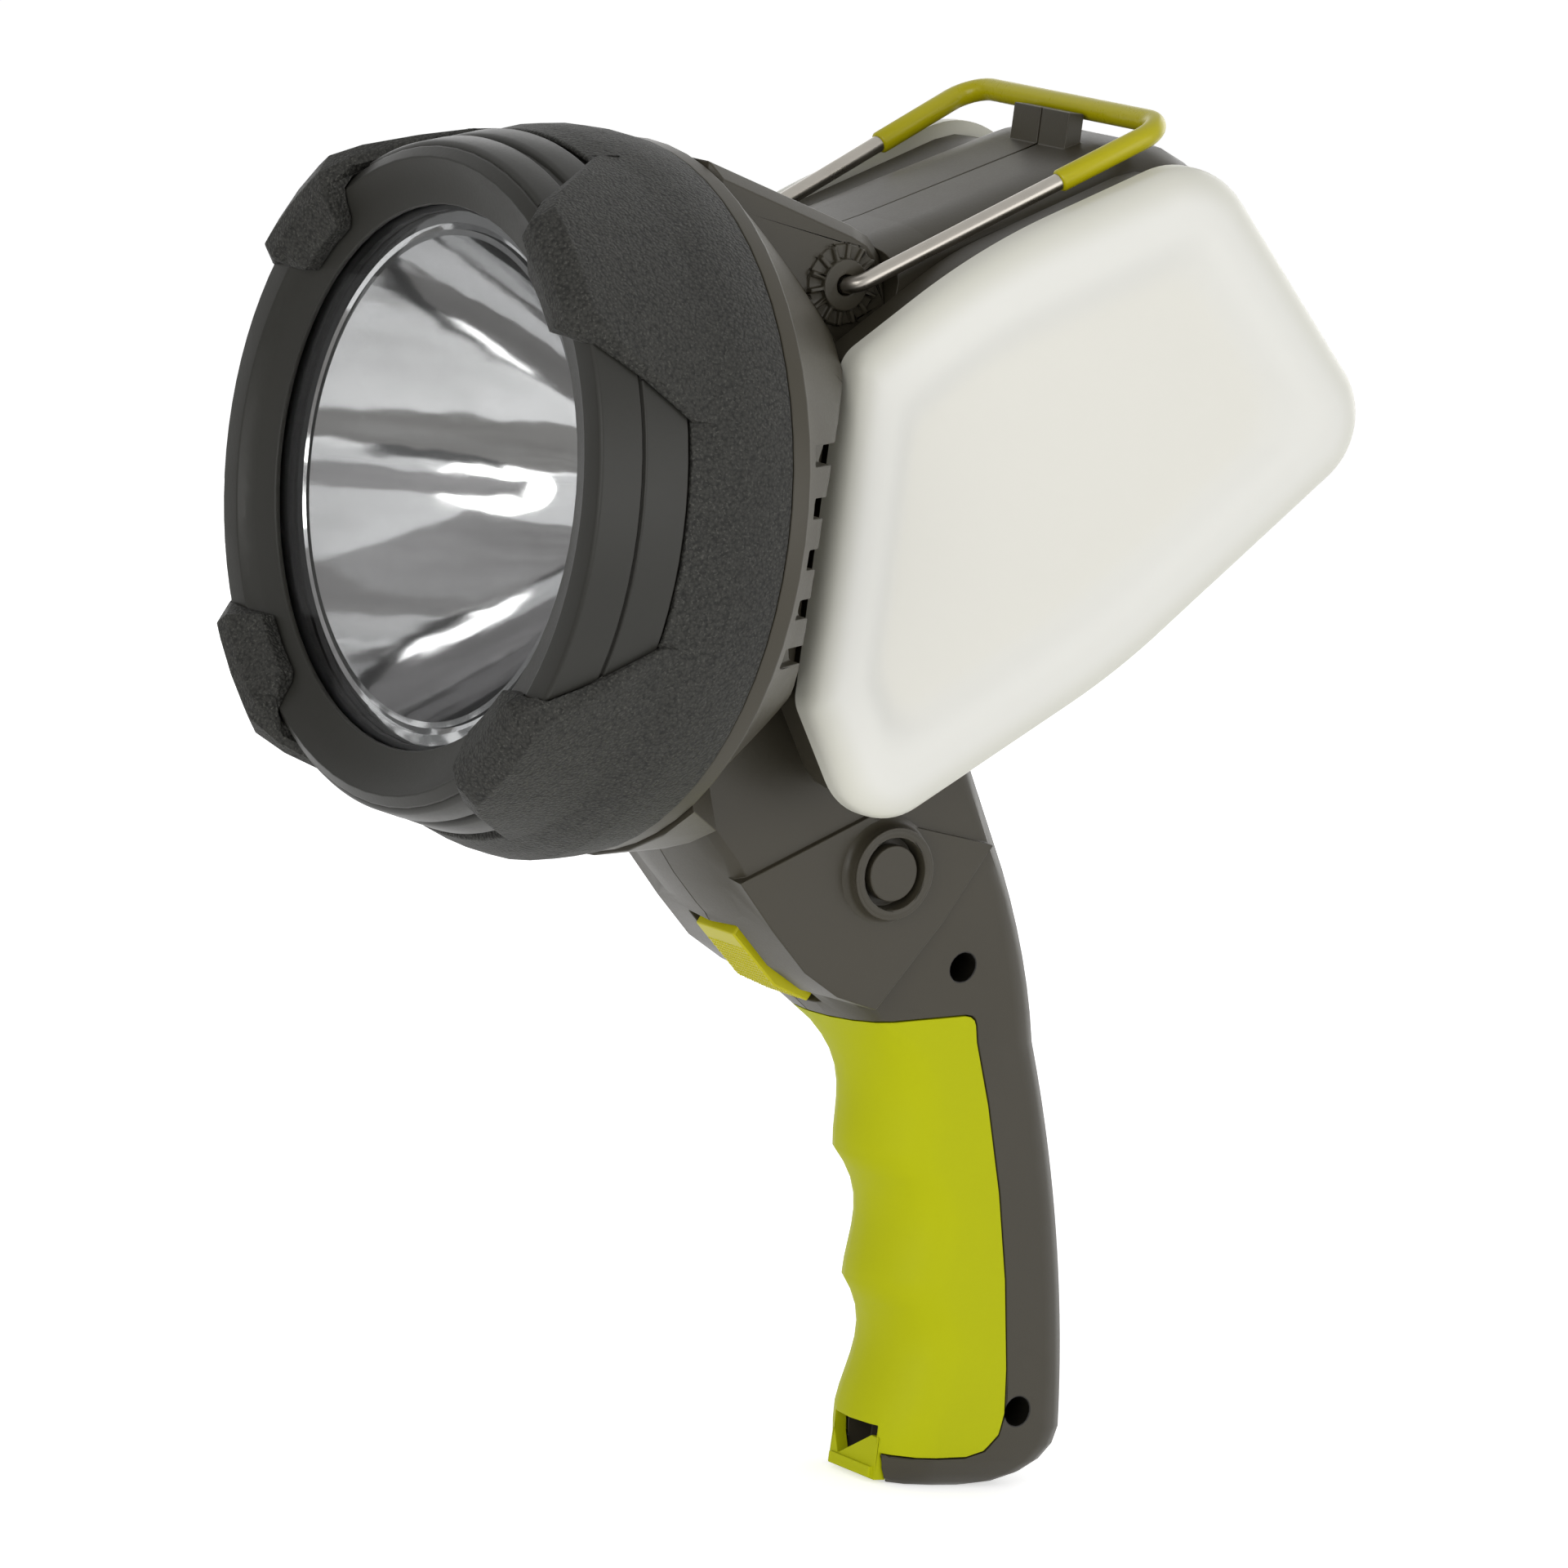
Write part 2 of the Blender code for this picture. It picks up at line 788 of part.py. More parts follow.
def side_cut(name, side, grow=0.0):
    """Hollow in the flank of the cone, in front of the side light."""
    low, high = span(SIDE_CUT_FLOOR + grow, RIM_RADIUS + OVERRUN, side)
    return cylinder(
        name, SIDE_CUT_RADIUS - grow,
        (low, SIDE_CUT_REAR, -SIDE_CUT_DROP), (high, SIDE_CUT_REAR, -SIDE_CUT_DROP),
        steps=RING_STEPS,
    )


def light_clearance(name, side, grow=FIT_GAP):
    """Space of a side light, cut from what lies in front of it."""
    low, high = span(BODY_HALF, RIM_RADIUS, side)
    outline = rounded(light_corners(-grow))
    return prism(name, outline, low, high)


def fin_slot(name, side, index):
    """One slot between two cooling fins. Its floor follows the cone."""
    middle = (index - (FIN_COUNT - 1) / 2) * FIN_PITCH - FIN_DROP
    low, high = middle - FIN_SLOT / 2, middle + FIN_SLOT / 2
    floor = []
    for along in (FIN_FRONT, CONE_LENGTH):
        reach = cone_radius(along) - FIN_DEPTH
        floor.append(math.sqrt(max(reach**2 - middle**2, FIN_DEPTH**2)))
    outer = RIM_RADIUS + OVERRUN
    rings = []
    for z in (low, high):
        ring = [(floor[0], FIN_FRONT), (floor[1], CONE_LENGTH)]
        ring += [(outer, CONE_LENGTH), (outer, FIN_FRONT)]
        rings.append([(sided(x, side), y, z) for x, y in ring])
    return lofted(name, rings)


def boss_teeth(name, side):
    """Detent ring round the hook's hole: a washer with radial teeth and a hub."""
    face = EAR_HALF - FIT_GAP
    disc = cylinder(
        name, BOSS_RADIUS,
        (sided(face - BOSS_RISE, side), PIVOT_Y, PIVOT_Z),
        (sided(EAR_HALF + BOSS_RISE, side), PIVOT_Y, PIVOT_Z),
    )
    hub = cylinder(
        "hub", HUB_RADIUS,
        (sided(face, side), PIVOT_Y, PIVOT_Z),
        (sided(EAR_HALF + HUB_RISE, side), PIVOT_Y, PIVOT_Z),
    )
    parts = [hub]
    low, high = span(face, EAR_HALF + TOOTH_RISE, side)
    for index in range(TOOTH_COUNT):
        tooth = block(
            f"tooth_{index}",
            (low, HUB_RADIUS - TOOTH_WIDTH, -TOOTH_WIDTH / 2),
            (high, BOSS_RADIUS, TOOTH_WIDTH / 2),
        )
        turn = 2 * math.pi * (index + 0.5) / TOOTH_COUNT
        tooth.data.transform(Matrix.Rotation(turn, 4, "X"))
        tooth.data.transform(Matrix.Translation((0.0, PIVOT_Y, PIVOT_Z)))
        parts.append(tooth)
    return join(disc, *parts)


def head_housing():
    """Rim, cone, ears and skirt in one moulding, open to the front for the reflector."""
    profile = [(-RIM_WIDTH, RIM_RADIUS), (-RIM_FILLET, RIM_RADIUS)]
    profile += cone_outline()
    profile += [
        (CONE_LENGTH, 0.0),
        (LED_BAY_FRONT + LED_BAY_DEPTH, 0.0),
        (LED_BAY_FRONT + LED_BAY_DEPTH, LED_BAY_RADIUS),
        (LED_BAY_FRONT, LED_BAY_RADIUS),
        (MOUTH_DEPTH, MOUTH_RADIUS - RIM_WIDTH),
        (-RIM_WIDTH, MOUTH_RADIUS),
    ]
    housing = turned("head_housing", profile, housing_grey(), HEAD_STEPS)
    ears = prism("ears", ear_outline(), -EAR_HALF, EAR_HALF)
    top = PIVOT_Z + EAR_RADIUS * 0.3
    bevel_edges(
        ears, EAR_CHAMFER,
        lambda middle, run: abs(middle.x) > EAR_HALF * 0.9 and abs(run.x) < 0.1 and middle.z > top,
    )
    bore = turned(
        "bore",
        [
            (-OVERRUN, 0.0), (-OVERRUN, MOUTH_RADIUS), (-RIM_WIDTH, MOUTH_RADIUS),
            (MOUTH_DEPTH, MOUTH_RADIUS - RIM_WIDTH), (LED_BAY_FRONT, LED_BAY_RADIUS),
            (LED_BAY_FRONT, 0.0),
        ],
        steps=HEAD_STEPS,
    )
    cut(ears, bore)
    swell(housing, RIM_RADIUS - RIM_WIDTH, lambda along: RIM_SWELL if along < FIT_GAP else 0.0)
    lap = swell(skirt("skirt"), RIM_RADIUS, lambda along: RIM_SWELL if along < FIT_GAP else 0.0)
    join(housing, ears, lap)
    for side in (1, -1):
        cut(housing, side_cut("side_cut", side), light_clearance("light_space", side))
        slots = [fin_slot(f"slot_{i}", side, i) for i in range(FIN_COUNT)]
        cut(housing, *slots)
        join(housing, boss_teeth("boss", side))
        hole = cylinder(
            "hole", WIRE_RADIUS + SLIDE_GAP,
            (sided(HOOK_PIN - FIT_GAP * 2, side), PIVOT_Y, PIVOT_Z),
            (sided(EAR_HALF + OVERRUN, side), PIVOT_Y, PIVOT_Z),
            steps=WIRE_SIDES * 2,
        )
        cut(housing, hole)
    return smooth(housing)


def bezel_outline(gap=0.0):
    """(Y, radius) of the bezel's outside from the rear to the crease of its face."""
    return [
        (-GUARD_REAR, BEZEL_RADIUS + gap),
        (-STEP_TWO_REAR, BEZEL_RADIUS + gap),
        (-STEP_TWO_FRONT - gap, BEZEL_RADIUS - STEP_TWO_DROP + gap),
        (-STEP_ONE_FRONT - gap, BEZEL_RADIUS - STEP_ONE_DROP + gap),
        (-CREST_BACK - gap, BEZEL_RADIUS - CREST_DROP + gap),
        (-CREST_FRONT - gap, BEZEL_RADIUS - FACE_DROP + gap / 2),
        (-CREASE_FRONT - gap, BEZEL_RADIUS - CREASE_DROP),
    ]


def side_pad(name, side, gap=0.0):
    """Sector of the bezel that fills the steps at one side, with one narrow groove."""
    groove = PAD_GROOVE / 2 - gap
    crest = BEZEL_RADIUS - PAD_CREST_DROP
    rear = BEZEL_RADIUS + PAD_REAR_RISE
    rise = (rear - crest) / (PAD_CREST_FRONT - PAD_REAR)
    edge = crest + rise * (PAD_CREST_FRONT - PAD_GROOVE_AT)
    outline = [
        (-PAD_REAR + gap, BEZEL_BORE + LIP_WALL),
        (-PAD_REAR + gap, rear + gap),
        (-PAD_GROOVE_AT + groove, edge + gap),
        (-PAD_GROOVE_AT + groove / 2, edge + gap - PAD_GROOVE),
        (-PAD_GROOVE_AT - groove / 2, edge + gap - PAD_GROOVE),
        (-PAD_GROOVE_AT - groove, edge + gap),
        (-PAD_CREST_FRONT, crest + gap),
        (-CREST_FRONT - gap, crest - PAD_GROOVE),
        (-CREST_FRONT - gap, BEZEL_RADIUS - FACE_DROP - PAD_GROOVE),
        (-CREASE_FRONT, BEZEL_RADIUS - CREASE_DROP + PAD_GROOVE),
    ]
    half = math.radians(PAD_ANGLE) + gap / crest
    rings = []
    count = 18
    for k in range(count + 1):
        turn = half * (2 * k / count - 1) + (0.0 if side > 0 else math.pi)
        rings.append([(r * math.cos(turn), along, r * math.sin(turn)) for along, r in outline])
    return lofted(name, rings)


def bezel_ring():
    """Front ring: stepped cones, sloped face, lip, and seats for lens, gasket and reflector."""
    seat = LIP_FRONT - LIP_WALL
    seat_end = seat - LENS_THICKNESS - GASKET_THICKNESS - REFLECTOR_WALL - 4 * FIT_GAP
    profile = bezel_outline() + [
        (-LIP_FRONT, LIP_RADIUS),
        (-seat, LIP_RADIUS),
        (-seat, GASKET_OUTER + FIT_GAP),
        (-seat_end, GASKET_OUTER + FIT_GAP),
        (-seat_end, BEZEL_BORE),
        (-GUARD_REAR, BEZEL_BORE),
    ]
    ring = turned("bezel_ring", profile, head_grey(), HEAD_STEPS)
    return smooth(join(ring, side_pad("pad", 1), side_pad("pad", -1)))


def bezel_space():
    """The bezel's outside with a gap, cut from a claw."""
    profile = bezel_outline(FIT_GAP) + [(-CREASE_FRONT, 0.0), (-GUARD_REAR, 0.0)]
    space = turned("bezel_space", profile, steps=HEAD_STEPS)
    pads = [side_pad("pad_space", side, FIT_GAP) for side in (1, -1)]
    return join(space, *pads)


def claw(name, index):
    """One claw of the guard: a tongue with slanted sides that hooks over the bezel's face."""
    middle = math.pi / 4 + index * 2 * math.pi / CLAW_COUNT
    inner = BEZEL_RADIUS + 2 * FIT_GAP
    outer = BEZEL_RADIUS + CLAW_WALL
    land_edge = BEZEL_RADIUS - CLAW_LAND_DROP
    hook = BEZEL_RADIUS - CLAW_HOOK
    rings = []
    stations = [(-row[0], *row[1:]) for row in CLAW_SHARES] + list(reversed(CLAW_SHARES[:-1]))
    for degrees, reach_share, tip_share, land_share in stations:
        front = -GUARD_FRONT - (CLAW_REACH - GUARD_FRONT) * reach_share
        tip = hook + (inner - hook) * tip_share
        land = land_edge + (outer - land_edge) * land_share
        shoulder = CLAW_SHOULDER * (0.2 + 0.8 * reach_share)
        under = front + shoulder * 2
        outline = (
            (-CLAW_ROOT, inner),
            (-CLAW_ROOT, outer),
            (front + shoulder, outer),
            (front, land),
            (front, max(tip, land_edge - CLAW_LAND_WIDTH)),
            (front + shoulder, tip),
            (under, tip),
            (max(under, -GUARD_FRONT - FIT_GAP), inner),
        )
        turn = middle + math.radians(degrees)
        rings.append([(r * math.cos(turn), along, r * math.sin(turn)) for along, r in outline])
    return lofted(name, rings)


def rubber_guard():
    """Rubber band behind the bezel's steps, with four claws that protect its face."""
    inner = BEZEL_RADIUS + FIT_GAP
    middle = (GUARD_REAR + GUARD_FRONT) / 2
    crown = BEZEL_RADIUS + GUARD_WALL
    rear = BEZEL_RADIUS + GUARD_REAR_WALL
    front = BEZEL_RADIUS + GUARD_FRONT_WALL
    profile = [
        (-GUARD_REAR, inner),
        (-GUARD_REAR, rear),
        (-(middle + GUARD_REAR) / 2, (crown * 3 + rear) / 4),
        (-middle, crown),
        (-(middle + GUARD_FRONT) / 2, (crown * 3 + front) / 4),
        (-GUARD_FRONT, front),
        (-GUARD_FRONT, inner),
    ]
    guard = turned("rubber_guard", profile, rubber_black(), HEAD_STEPS)

    def guard_swell(along):
        if along < -middle:
            share = (along + GUARD_FRONT) / (GUARD_FRONT - middle)
            return GUARD_FRONT_SWELL + (GUARD_SWELL - GUARD_FRONT_SWELL) * share
        share = (along + middle) / (middle - GUARD_REAR)
        return GUARD_SWELL + (GUARD_REAR_SWELL - GUARD_SWELL) * share

    swell(guard, inner + FIT_GAP, guard_swell)
    claws = [cut(claw(f"claw_{i}", i), bezel_space()) for i in range(CLAW_COUNT)]
    return smooth(join(guard, *claws), 28)


def lens():
    front = -(LIP_FRONT - LIP_WALL) + FIT_GAP
    back = front + LENS_THICKNESS
    profile = [(front, 0.0), (front, LENS_RADIUS), (back, LENS_RADIUS), (back, 0.0)]
    return smooth(turned("lens", profile, clear_plastic()))


def gasket_front():
    return -(LIP_FRONT - LIP_WALL) + LENS_THICKNESS + 2 * FIT_GAP


def lens_gasket():
    front = gasket_front()
    back = front + GASKET_THICKNESS
    profile = [
        (front, GASKET_INNER), (front, GASKET_OUTER), (back, GASKET_OUTER), (back, GASKET_INNER)
    ]
    return smooth(turned("lens_gasket", profile, switch_black()))


def reflector_front():
    return gasket_front() + GASKET_THICKNESS + FIT_GAP


def reflector():
    """Parabolic cup with a flange that the bezel holds against the gasket."""
    front = reflector_front()
    squares = REFLECTOR_RADIUS**2 - REFLECTOR_HOLE**2
    rings = 9
    inner = []
    for i in range(rings + 1):
        radius = REFLECTOR_RADIUS + (REFLECTOR_HOLE - REFLECTOR_RADIUS) * i / rings
        along = front + REFLECTOR_DEPTH * (REFLECTOR_RADIUS**2 - radius**2) / squares
        inner.append((along, radius))
    outer = [(along, radius + REFLECTOR_WALL) for along, radius in reversed(inner[1:])]
    flange_back = front + REFLECTOR_WALL
    profile = inner + outer
    profile += [(flange_back, REFLECTOR_RADIUS + REFLECTOR_WALL)]
    profile += [(flange_back, REFLECTOR_FLANGE), (front, REFLECTOR_FLANGE)]
    return smooth(turned("reflector", profile, chrome()), 40)


def led_seat():
    """Y of the LED board's front face."""
    return reflector_front() + REFLECTOR_DEPTH + FIT_GAP


def led_board():
    front = led_seat()
    back = front + LED_BOARD_THICKNESS
    profile = [(front, 0.0), (front, LED_BOARD_RADIUS), (back, LED_BOARD_RADIUS), (back, 0.0)]
    return smooth(turned("led_board", profile, board_white(), SMALL_STEPS * 2))


def led_emitter():
    """Square-based power LED drawn round, with its dome lens."""
    back = led_seat() - FIT_GAP
    base = back - LED_BASE_HEIGHT
    profile = [(back, 0.0), (back, LED_BASE_RADIUS), (base, LED_BASE_RADIUS)]
    for k in range(CORNER_STEPS + 1):
        turn = math.pi / 2 * k / CORNER_STEPS
        profile.append((base - LED_DOME_RADIUS * math.sin(turn), LED_DOME_RADIUS * math.cos(turn)))
    profile[-1] = (base - LED_DOME_RADIUS, 0.0)
    return smooth(turned("led_emitter", profile, emitter_yellow(), SMALL_STEPS))


def heat_sink():
    """Plate with radial fins behind the LED board."""
    front = led_seat() + LED_BOARD_THICKNESS + FIT_GAP
    plate_back = front + SINK_PLATE
    back = front + SINK_DEPTH
    profile = [
        (front, 0.0), (front, SINK_RADIUS), (plate_back, SINK_RADIUS),
        (plate_back, SINK_CORE), (back, SINK_CORE), (back, 0.0),
    ]
    sink = turned("heat_sink", profile, aluminium(), SINK_FIN_COUNT * 4)
    fins = []
    for index in range(SINK_FIN_COUNT):
        fin = block(
            f"fin_{index}",
            (SINK_CORE * 0.8, plate_back - SINK_FIN / 2, -SINK_FIN / 2),
            (SINK_RADIUS - SINK_FIN / 2, back - SINK_FIN / 2, SINK_FIN / 2),
        )
        fin.data.transform(Matrix.Rotation(2 * math.pi * index / SINK_FIN_COUNT, 4, "Y"))
        fins.append(fin)
    return smooth(join(sink, *fins))


def back_at(z):
    """Y of the neck's and grip's back at a height."""
    share = (BACK_TOP_Z - z) / BACK_RUN
    return BACK_TOP + BACK_LEAN * share - BACK_CURL * share**2


def front_at(z):
    """Y of the front line in the seam plane: neck slope, then ridges and finger grooves."""
    if z > SEAM_LOW_Z:
        share = (SEAM_TOP_Z - z) / (SEAM_TOP_Z - SEAM_LOW_Z)
        curve = SEAM_SLOPE_SHARE * share + (1 - SEAM_SLOPE_SHARE) * share * abs(share)
        return max(SEAM_TOP_Y + (SEAM_LOW_Y - SEAM_TOP_Y) * curve, NECK_FRONT_TOP)
    if z > GRIP_FRONT_Z:
        share = (SEAM_LOW_Z - z) / (SEAM_LOW_Z - GRIP_FRONT_Z)
        return SEAM_LOW_Y + (GRIP_FRONT_Y - SEAM_LOW_Y) * share
    fingers = min((GRIP_FRONT_Z - z) / GROOVE_PITCH, GROOVE_COUNT)
    ridge = GRIP_FRONT_Y + RIDGE_LEAN * fingers - RIDGE_CURL * fingers**2
    phase = (fingers % 1) ** GROOVE_SKEW
    return ridge + GROOVE_DEPTH * math.sin(math.pi * phase) ** GROOVE_POWER


def grip_bottom():
    return GRIP_FRONT_Z - GROOVE_COUNT * GROOVE_PITCH


def grip_ring(z, front, back, half, nose, corner):
    """Level section: elliptical nose at the front, rounded corners at the back."""
    ring = []
    for k in range(NOSE_STEPS + 1):
        turn = math.pi * (k / NOSE_STEPS - 0.5)
        ring.append((half * math.sin(turn), front + nose * (1 - math.cos(turn)), z))
    for start in (0.0, math.pi / 2):
        middle = half - corner if start == 0.0 else corner - half
        for k in range(CORNER_STEPS + 1):
            turn = start + math.pi / 2 * k / CORNER_STEPS
            ring.append((middle + corner * math.cos(turn), back - corner + corner * math.sin(turn), z))
    return ring


def grip_levels(top, bottom):
    """Heights of the stations: a few on the neck, then eight for each finger."""
    fall = SEAM_LOW_Z - SEAM_TOP_Z
    levels = [BACK_TOP_Z] + [SEAM_TOP_Z + fall * k / 5 for k in range(6)]
    count = 8 * GROOVE_COUNT
    for k in range(count + 1):
        levels.append(GRIP_FRONT_Z - k * GROOVE_PITCH * GROOVE_COUNT / count)
    inside = [z for z in levels if bottom < z < top]
    return [top] + inside + [bottom]


def grip_solid(name, inset=0.0, top=NECK_TOP, bottom=None):
    """Neck and grip as one loft. With an inset it is the core inside the same skin."""
    foot = grip_bottom()
    rings = []
    for z in grip_levels(top, bottom if bottom is not None else foot):
        blend = min(max((SEAM_TOP_Z - z) / (SEAM_TOP_Z - GRIP_FRONT_Z), 0.0), 1.0)
        half = NECK_HALF + (GRIP_HALF - NECK_HALF) * blend**2
        nose = NECK_NOSE + (GRIP_NOSE - NECK_NOSE) * blend**3
        rings.append(
            grip_ring(
                z, front_at(z) + inset, back_at(z) - inset, half - inset,
                nose - inset / 2, GRIP_CORNER - inset / 2,
            )
        )
    if bottom is None:
        drop = BASE_HEIGHT - inset
        for k in range(1, CORNER_STEPS + 2):
            turn = math.pi / 2 * k / (CORNER_STEPS + 1.4)
            shrink = 1 - math.cos(turn)
            rings.append(
                grip_ring(
                    foot - drop * math.sin(turn),
                    front_at(foot) + inset + BASE_FRONT_ROUND * shrink,
                    back_at(foot) - inset - BASE_BACK_ROUND * shrink,
                    GRIP_HALF - inset - BASE_SIDE_ROUND * shrink,
                    GRIP_NOSE - inset / 2,
                    GRIP_CORNER - inset / 2 - BASE_SIDE_ROUND / 2 * shrink,
                )
            )
    return lofted(name, rings)


def cheek_block(name):
    """Raised cheeks of the switch housing, across both halves, a little narrower at their faces."""
    rings = []
    middle = (0.5, 0.55)
    for x, flare in ((-CHEEK_HALF, 0.0), (0.0, CHEEK_FLARE), (CHEEK_HALF, 0.0)):
        ring = []
        for along, up in CHEEK_SHARES:
            out_y = flare if along > middle[0] else -flare
            out_z = flare if up > middle[1] else -flare
            ring.append((
                x, CHEEK_FRONT + along * CHEEK_LENGTH + out_y,
                CHEEK_BOTTOM + up * CHEEK_HEIGHT + out_z,
            ))
        rings.append(ring)
    return lofted(name, rings)


def overmould_region(name, grow=0.0):
    """Side view of the soft grip: open to the front, its rear edge parallel to the grip's back."""
    front = GRIP_FRONT_Y - OVERRUN * 3
    top = OVERMOULD_TOP_BACK + grow
    bottom = OVERMOULD_BOTTOM - grow
    setback = OVERMOULD_SETBACK - grow
    corners = [
        (front, OVERMOULD_TOP_FRONT + grow, 0.0),
        (back_at(top) - setback, top, OVERMOULD_TOP_CORNER),
    ]
    for k in range(1, 5):
        z = top + (bottom - top) * k / 5
        corners.append((back_at(z) - setback, z, OVERMOULD_CORNER))
    corners.append((back_at(bottom) - setback, bottom, OVERMOULD_CORNER))
    corners.append((front, bottom - LIP_DROP, 0.0))
    outline = rounded([(y, z, max(radius, FIT_GAP)) for y, z, radius in corners], 3)
    return prism(name, outline, -NECK_HALF - OVERRUN, NECK_HALF + OVERRUN)


def trigger_line():
    """Start of the trigger's line in (Y, Z), its direction, its outward normal and its length."""
    start = Vector(TRIGGER_TOP)
    run = Vector(TRIGGER_LOW) - start
    length = run.length
    run.normalize()
    return start, run, Vector((run.y, -run.x)), length


def trigger_point(along_share, out):
    """(Y, Z) at a share of the trigger's length and a height over its line."""
    start, run, normal, length = trigger_line()
    return tuple(start + run * length * along_share + normal * out)


def trigger_spaces():
    """Cutters for the trigger: a shallow recess round it and the way through the wall."""
    margin = 0.07
    gap = 0.02
    deep = TRIGGER_BODY * 1.5
    recess = [
        trigger_point(-margin, OVERRUN), trigger_point(1 + margin, OVERRUN),
        trigger_point(1 + margin, -TRIGGER_RECESS_DEPTH),
        trigger_point(-margin, -TRIGGER_RECESS_DEPTH),
    ]
    way = [
        trigger_point(-gap, OVERRUN), trigger_point(1 + gap, OVERRUN),
        trigger_point(1 + gap, -deep), trigger_point(-gap, -deep),
    ]
    return (
        prism("recess", recess, -TRIGGER_RECESS_HALF, TRIGGER_RECESS_HALF),
        prism("way", way, -TRIGGER_HALF - SLIDE_GAP, TRIGGER_HALF + SLIDE_GAP),
    )


def trigger():
    """Finger piece: a low wedge in front and a square body behind it."""
    outline = [
        trigger_point(0, FIT_GAP), trigger_point(TRIGGER_KNEE_SHARE, TRIGGER_PROUD),
        trigger_point(1, FIT_GAP), trigger_point(1, -TRIGGER_BODY), trigger_point(0, -TRIGGER_BODY),
    ]
    made = prism("trigger", outline, -TRIGGER_HALF, TRIGGER_HALF, trigger_yellow())
    bevel_edges(made, BUTTON_SINK, lambda middle, run: abs(run.x) < 0.5, 2)
    return made


def slot_space(name, half, start, end):
    """Cutter of the lanyard slot, open to the bottom, between two depths behind the foot's front."""
    front = front_at(grip_bottom())
    return block(name, (-half, front + start, SLOT_FOOT), (half, front + end, SLOT_TOP))


def lanyard_bar():
    """Web across the slot: a thin sill in front and a slanted rest behind it."""
    front = front_at(grip_bottom())
    rest = [
        (-BAR_HALF, BAR_FOOT), (BAR_HALF, BAR_FOOT), (BAR_HALF, BAR_TOP),
        (SLOT_HALF - SLOT_SKIN, BAR_TOP), (-SLOT_HALF + SLOT_SKIN, BAR_SILL),
        (-SLOT_HALF, BAR_REST), (-BAR_HALF, BAR_REST),
    ]
    rings = []
    for y in (front + SLOT_SKIN, front + SLOT_BAR):
        rings.append([(x, y, z) for x, z in rest])
    sill = block(
        "sill", (FIT_GAP - SLOT_HALF, front + BAR_SETBACK, BAR_FOOT + FIT_GAP),
        (SLOT_HALF - FIT_GAP, front + SLOT_SKIN * 1.5, BAR_SILL),
    )
    return join(lofted("bar", rings), sill)


def screw_places():
    return {
        "upper": (SCREW_UPPER, CHEEK_HALF), "lower": (SCREW_LOWER, GRIP_HALF),
        "rear": (SCREW_REAR, BODY_HALF), "front": (SCREW_FRONT, BODY_HALF),
    }


def cavity(name):
    """Hollow inside the halves: the body, the neck and the grip, less the screw bosses."""
    inner = rounded(body_corners(BODY_WALL))
    hollow = prism(name, inner, BODY_WALL - BODY_HALF, BODY_HALF - BODY_WALL)
    front = CONE_LENGTH + BODY_WALL
    cut(hollow, block("front", (-BODY_HALF, -OVERRUN, -RIM_RADIUS), (BODY_HALF, front, RIM_RADIUS)))
    ears = prism("ears", ear_outline(BODY_WALL), -BODY_HALF, BODY_HALF)
    inset = OVERMOULD_WALL + CAVITY_INSET + FIT_GAP
    neck = grip_solid("neck", inset, CAVITY_TOP, CAVITY_BOTTOM)
    cut(hollow, ears)
    shaft = block(
        "shaft",
        (inset - NECK_HALF, front_at(CAVITY_TOP) + BACK_TOP / 4, CAVITY_TOP - OVERRUN),
        (NECK_HALF - inset, back_at(BACK_TOP_Z) - inset - OVERRUN, BACK_TOP_Z + OVERRUN * 2),
    )
    join(hollow, neck, shaft)
    bosses = []
    for label, ((y, z), _) in screw_places().items():
        bosses.append(
            cylinder(
                f"boss_{label}", SCREW_BOSS_RADIUS, (-BODY_HALF, y, z), (BODY_HALF, y, z),
                steps=SMALL_STEPS // 2,
            )
        )
    return cut(hollow, *bosses)


def housing_solid():
    """Body, neck, cheeks and grip as one solid, with every outside opening."""
    stations = []
    for k in range(CORNER_STEPS + 1):
        turn = math.pi / 2 * k / CORNER_STEPS
        out = BODY_CROWN + (BODY_HALF - BODY_CROWN) * math.sin(turn)
        fall = BODY_EDGE * (1 - math.cos(turn))
        stations = [(fall, -out), *stations, (fall, out)]
    body = plate("housing", body_corners, stations, housing_grey())
    cut(body, block(
        "front", (-BODY_HALF * 2, -OVERRUN, -CONE_LENGTH),
        (BODY_HALF * 2, CONE_LENGTH + FIT_GAP, RIM_RADIUS * 2),
    ))
    catch = block(
        "catch", (-CATCH_HALF, CATCH_FRONT, CATCH_TOP - CATCH_HEIGHT),
        (CATCH_HALF, CATCH_FRONT + CATCH_DEPTH, CATCH_TOP),
    )
    join(body, grip_solid("grip"), cheek_block("cheeks"), catch)
    cone = [(-OVERRUN, 0.0)] + [(-OVERRUN, cone_radius(0.0) + FIT_GAP)]
    cone += cone_outline(FIT_GAP) + [(CONE_LENGTH + FIT_GAP, 0.0)]
    cut(
        body, turned("cone", cone, steps=HEAD_STEPS),
        prism("ears", ear_outline(FIT_GAP), -BODY_HALF * 1.5, BODY_HALF * 1.5),
        skirt("skirt", FIT_GAP),
    )
    skin = cut(
        overmould_region("skin", FIT_GAP), grip_solid("inner", OVERMOULD_WALL + FIT_GAP)
    )
    return cut(body, skin)


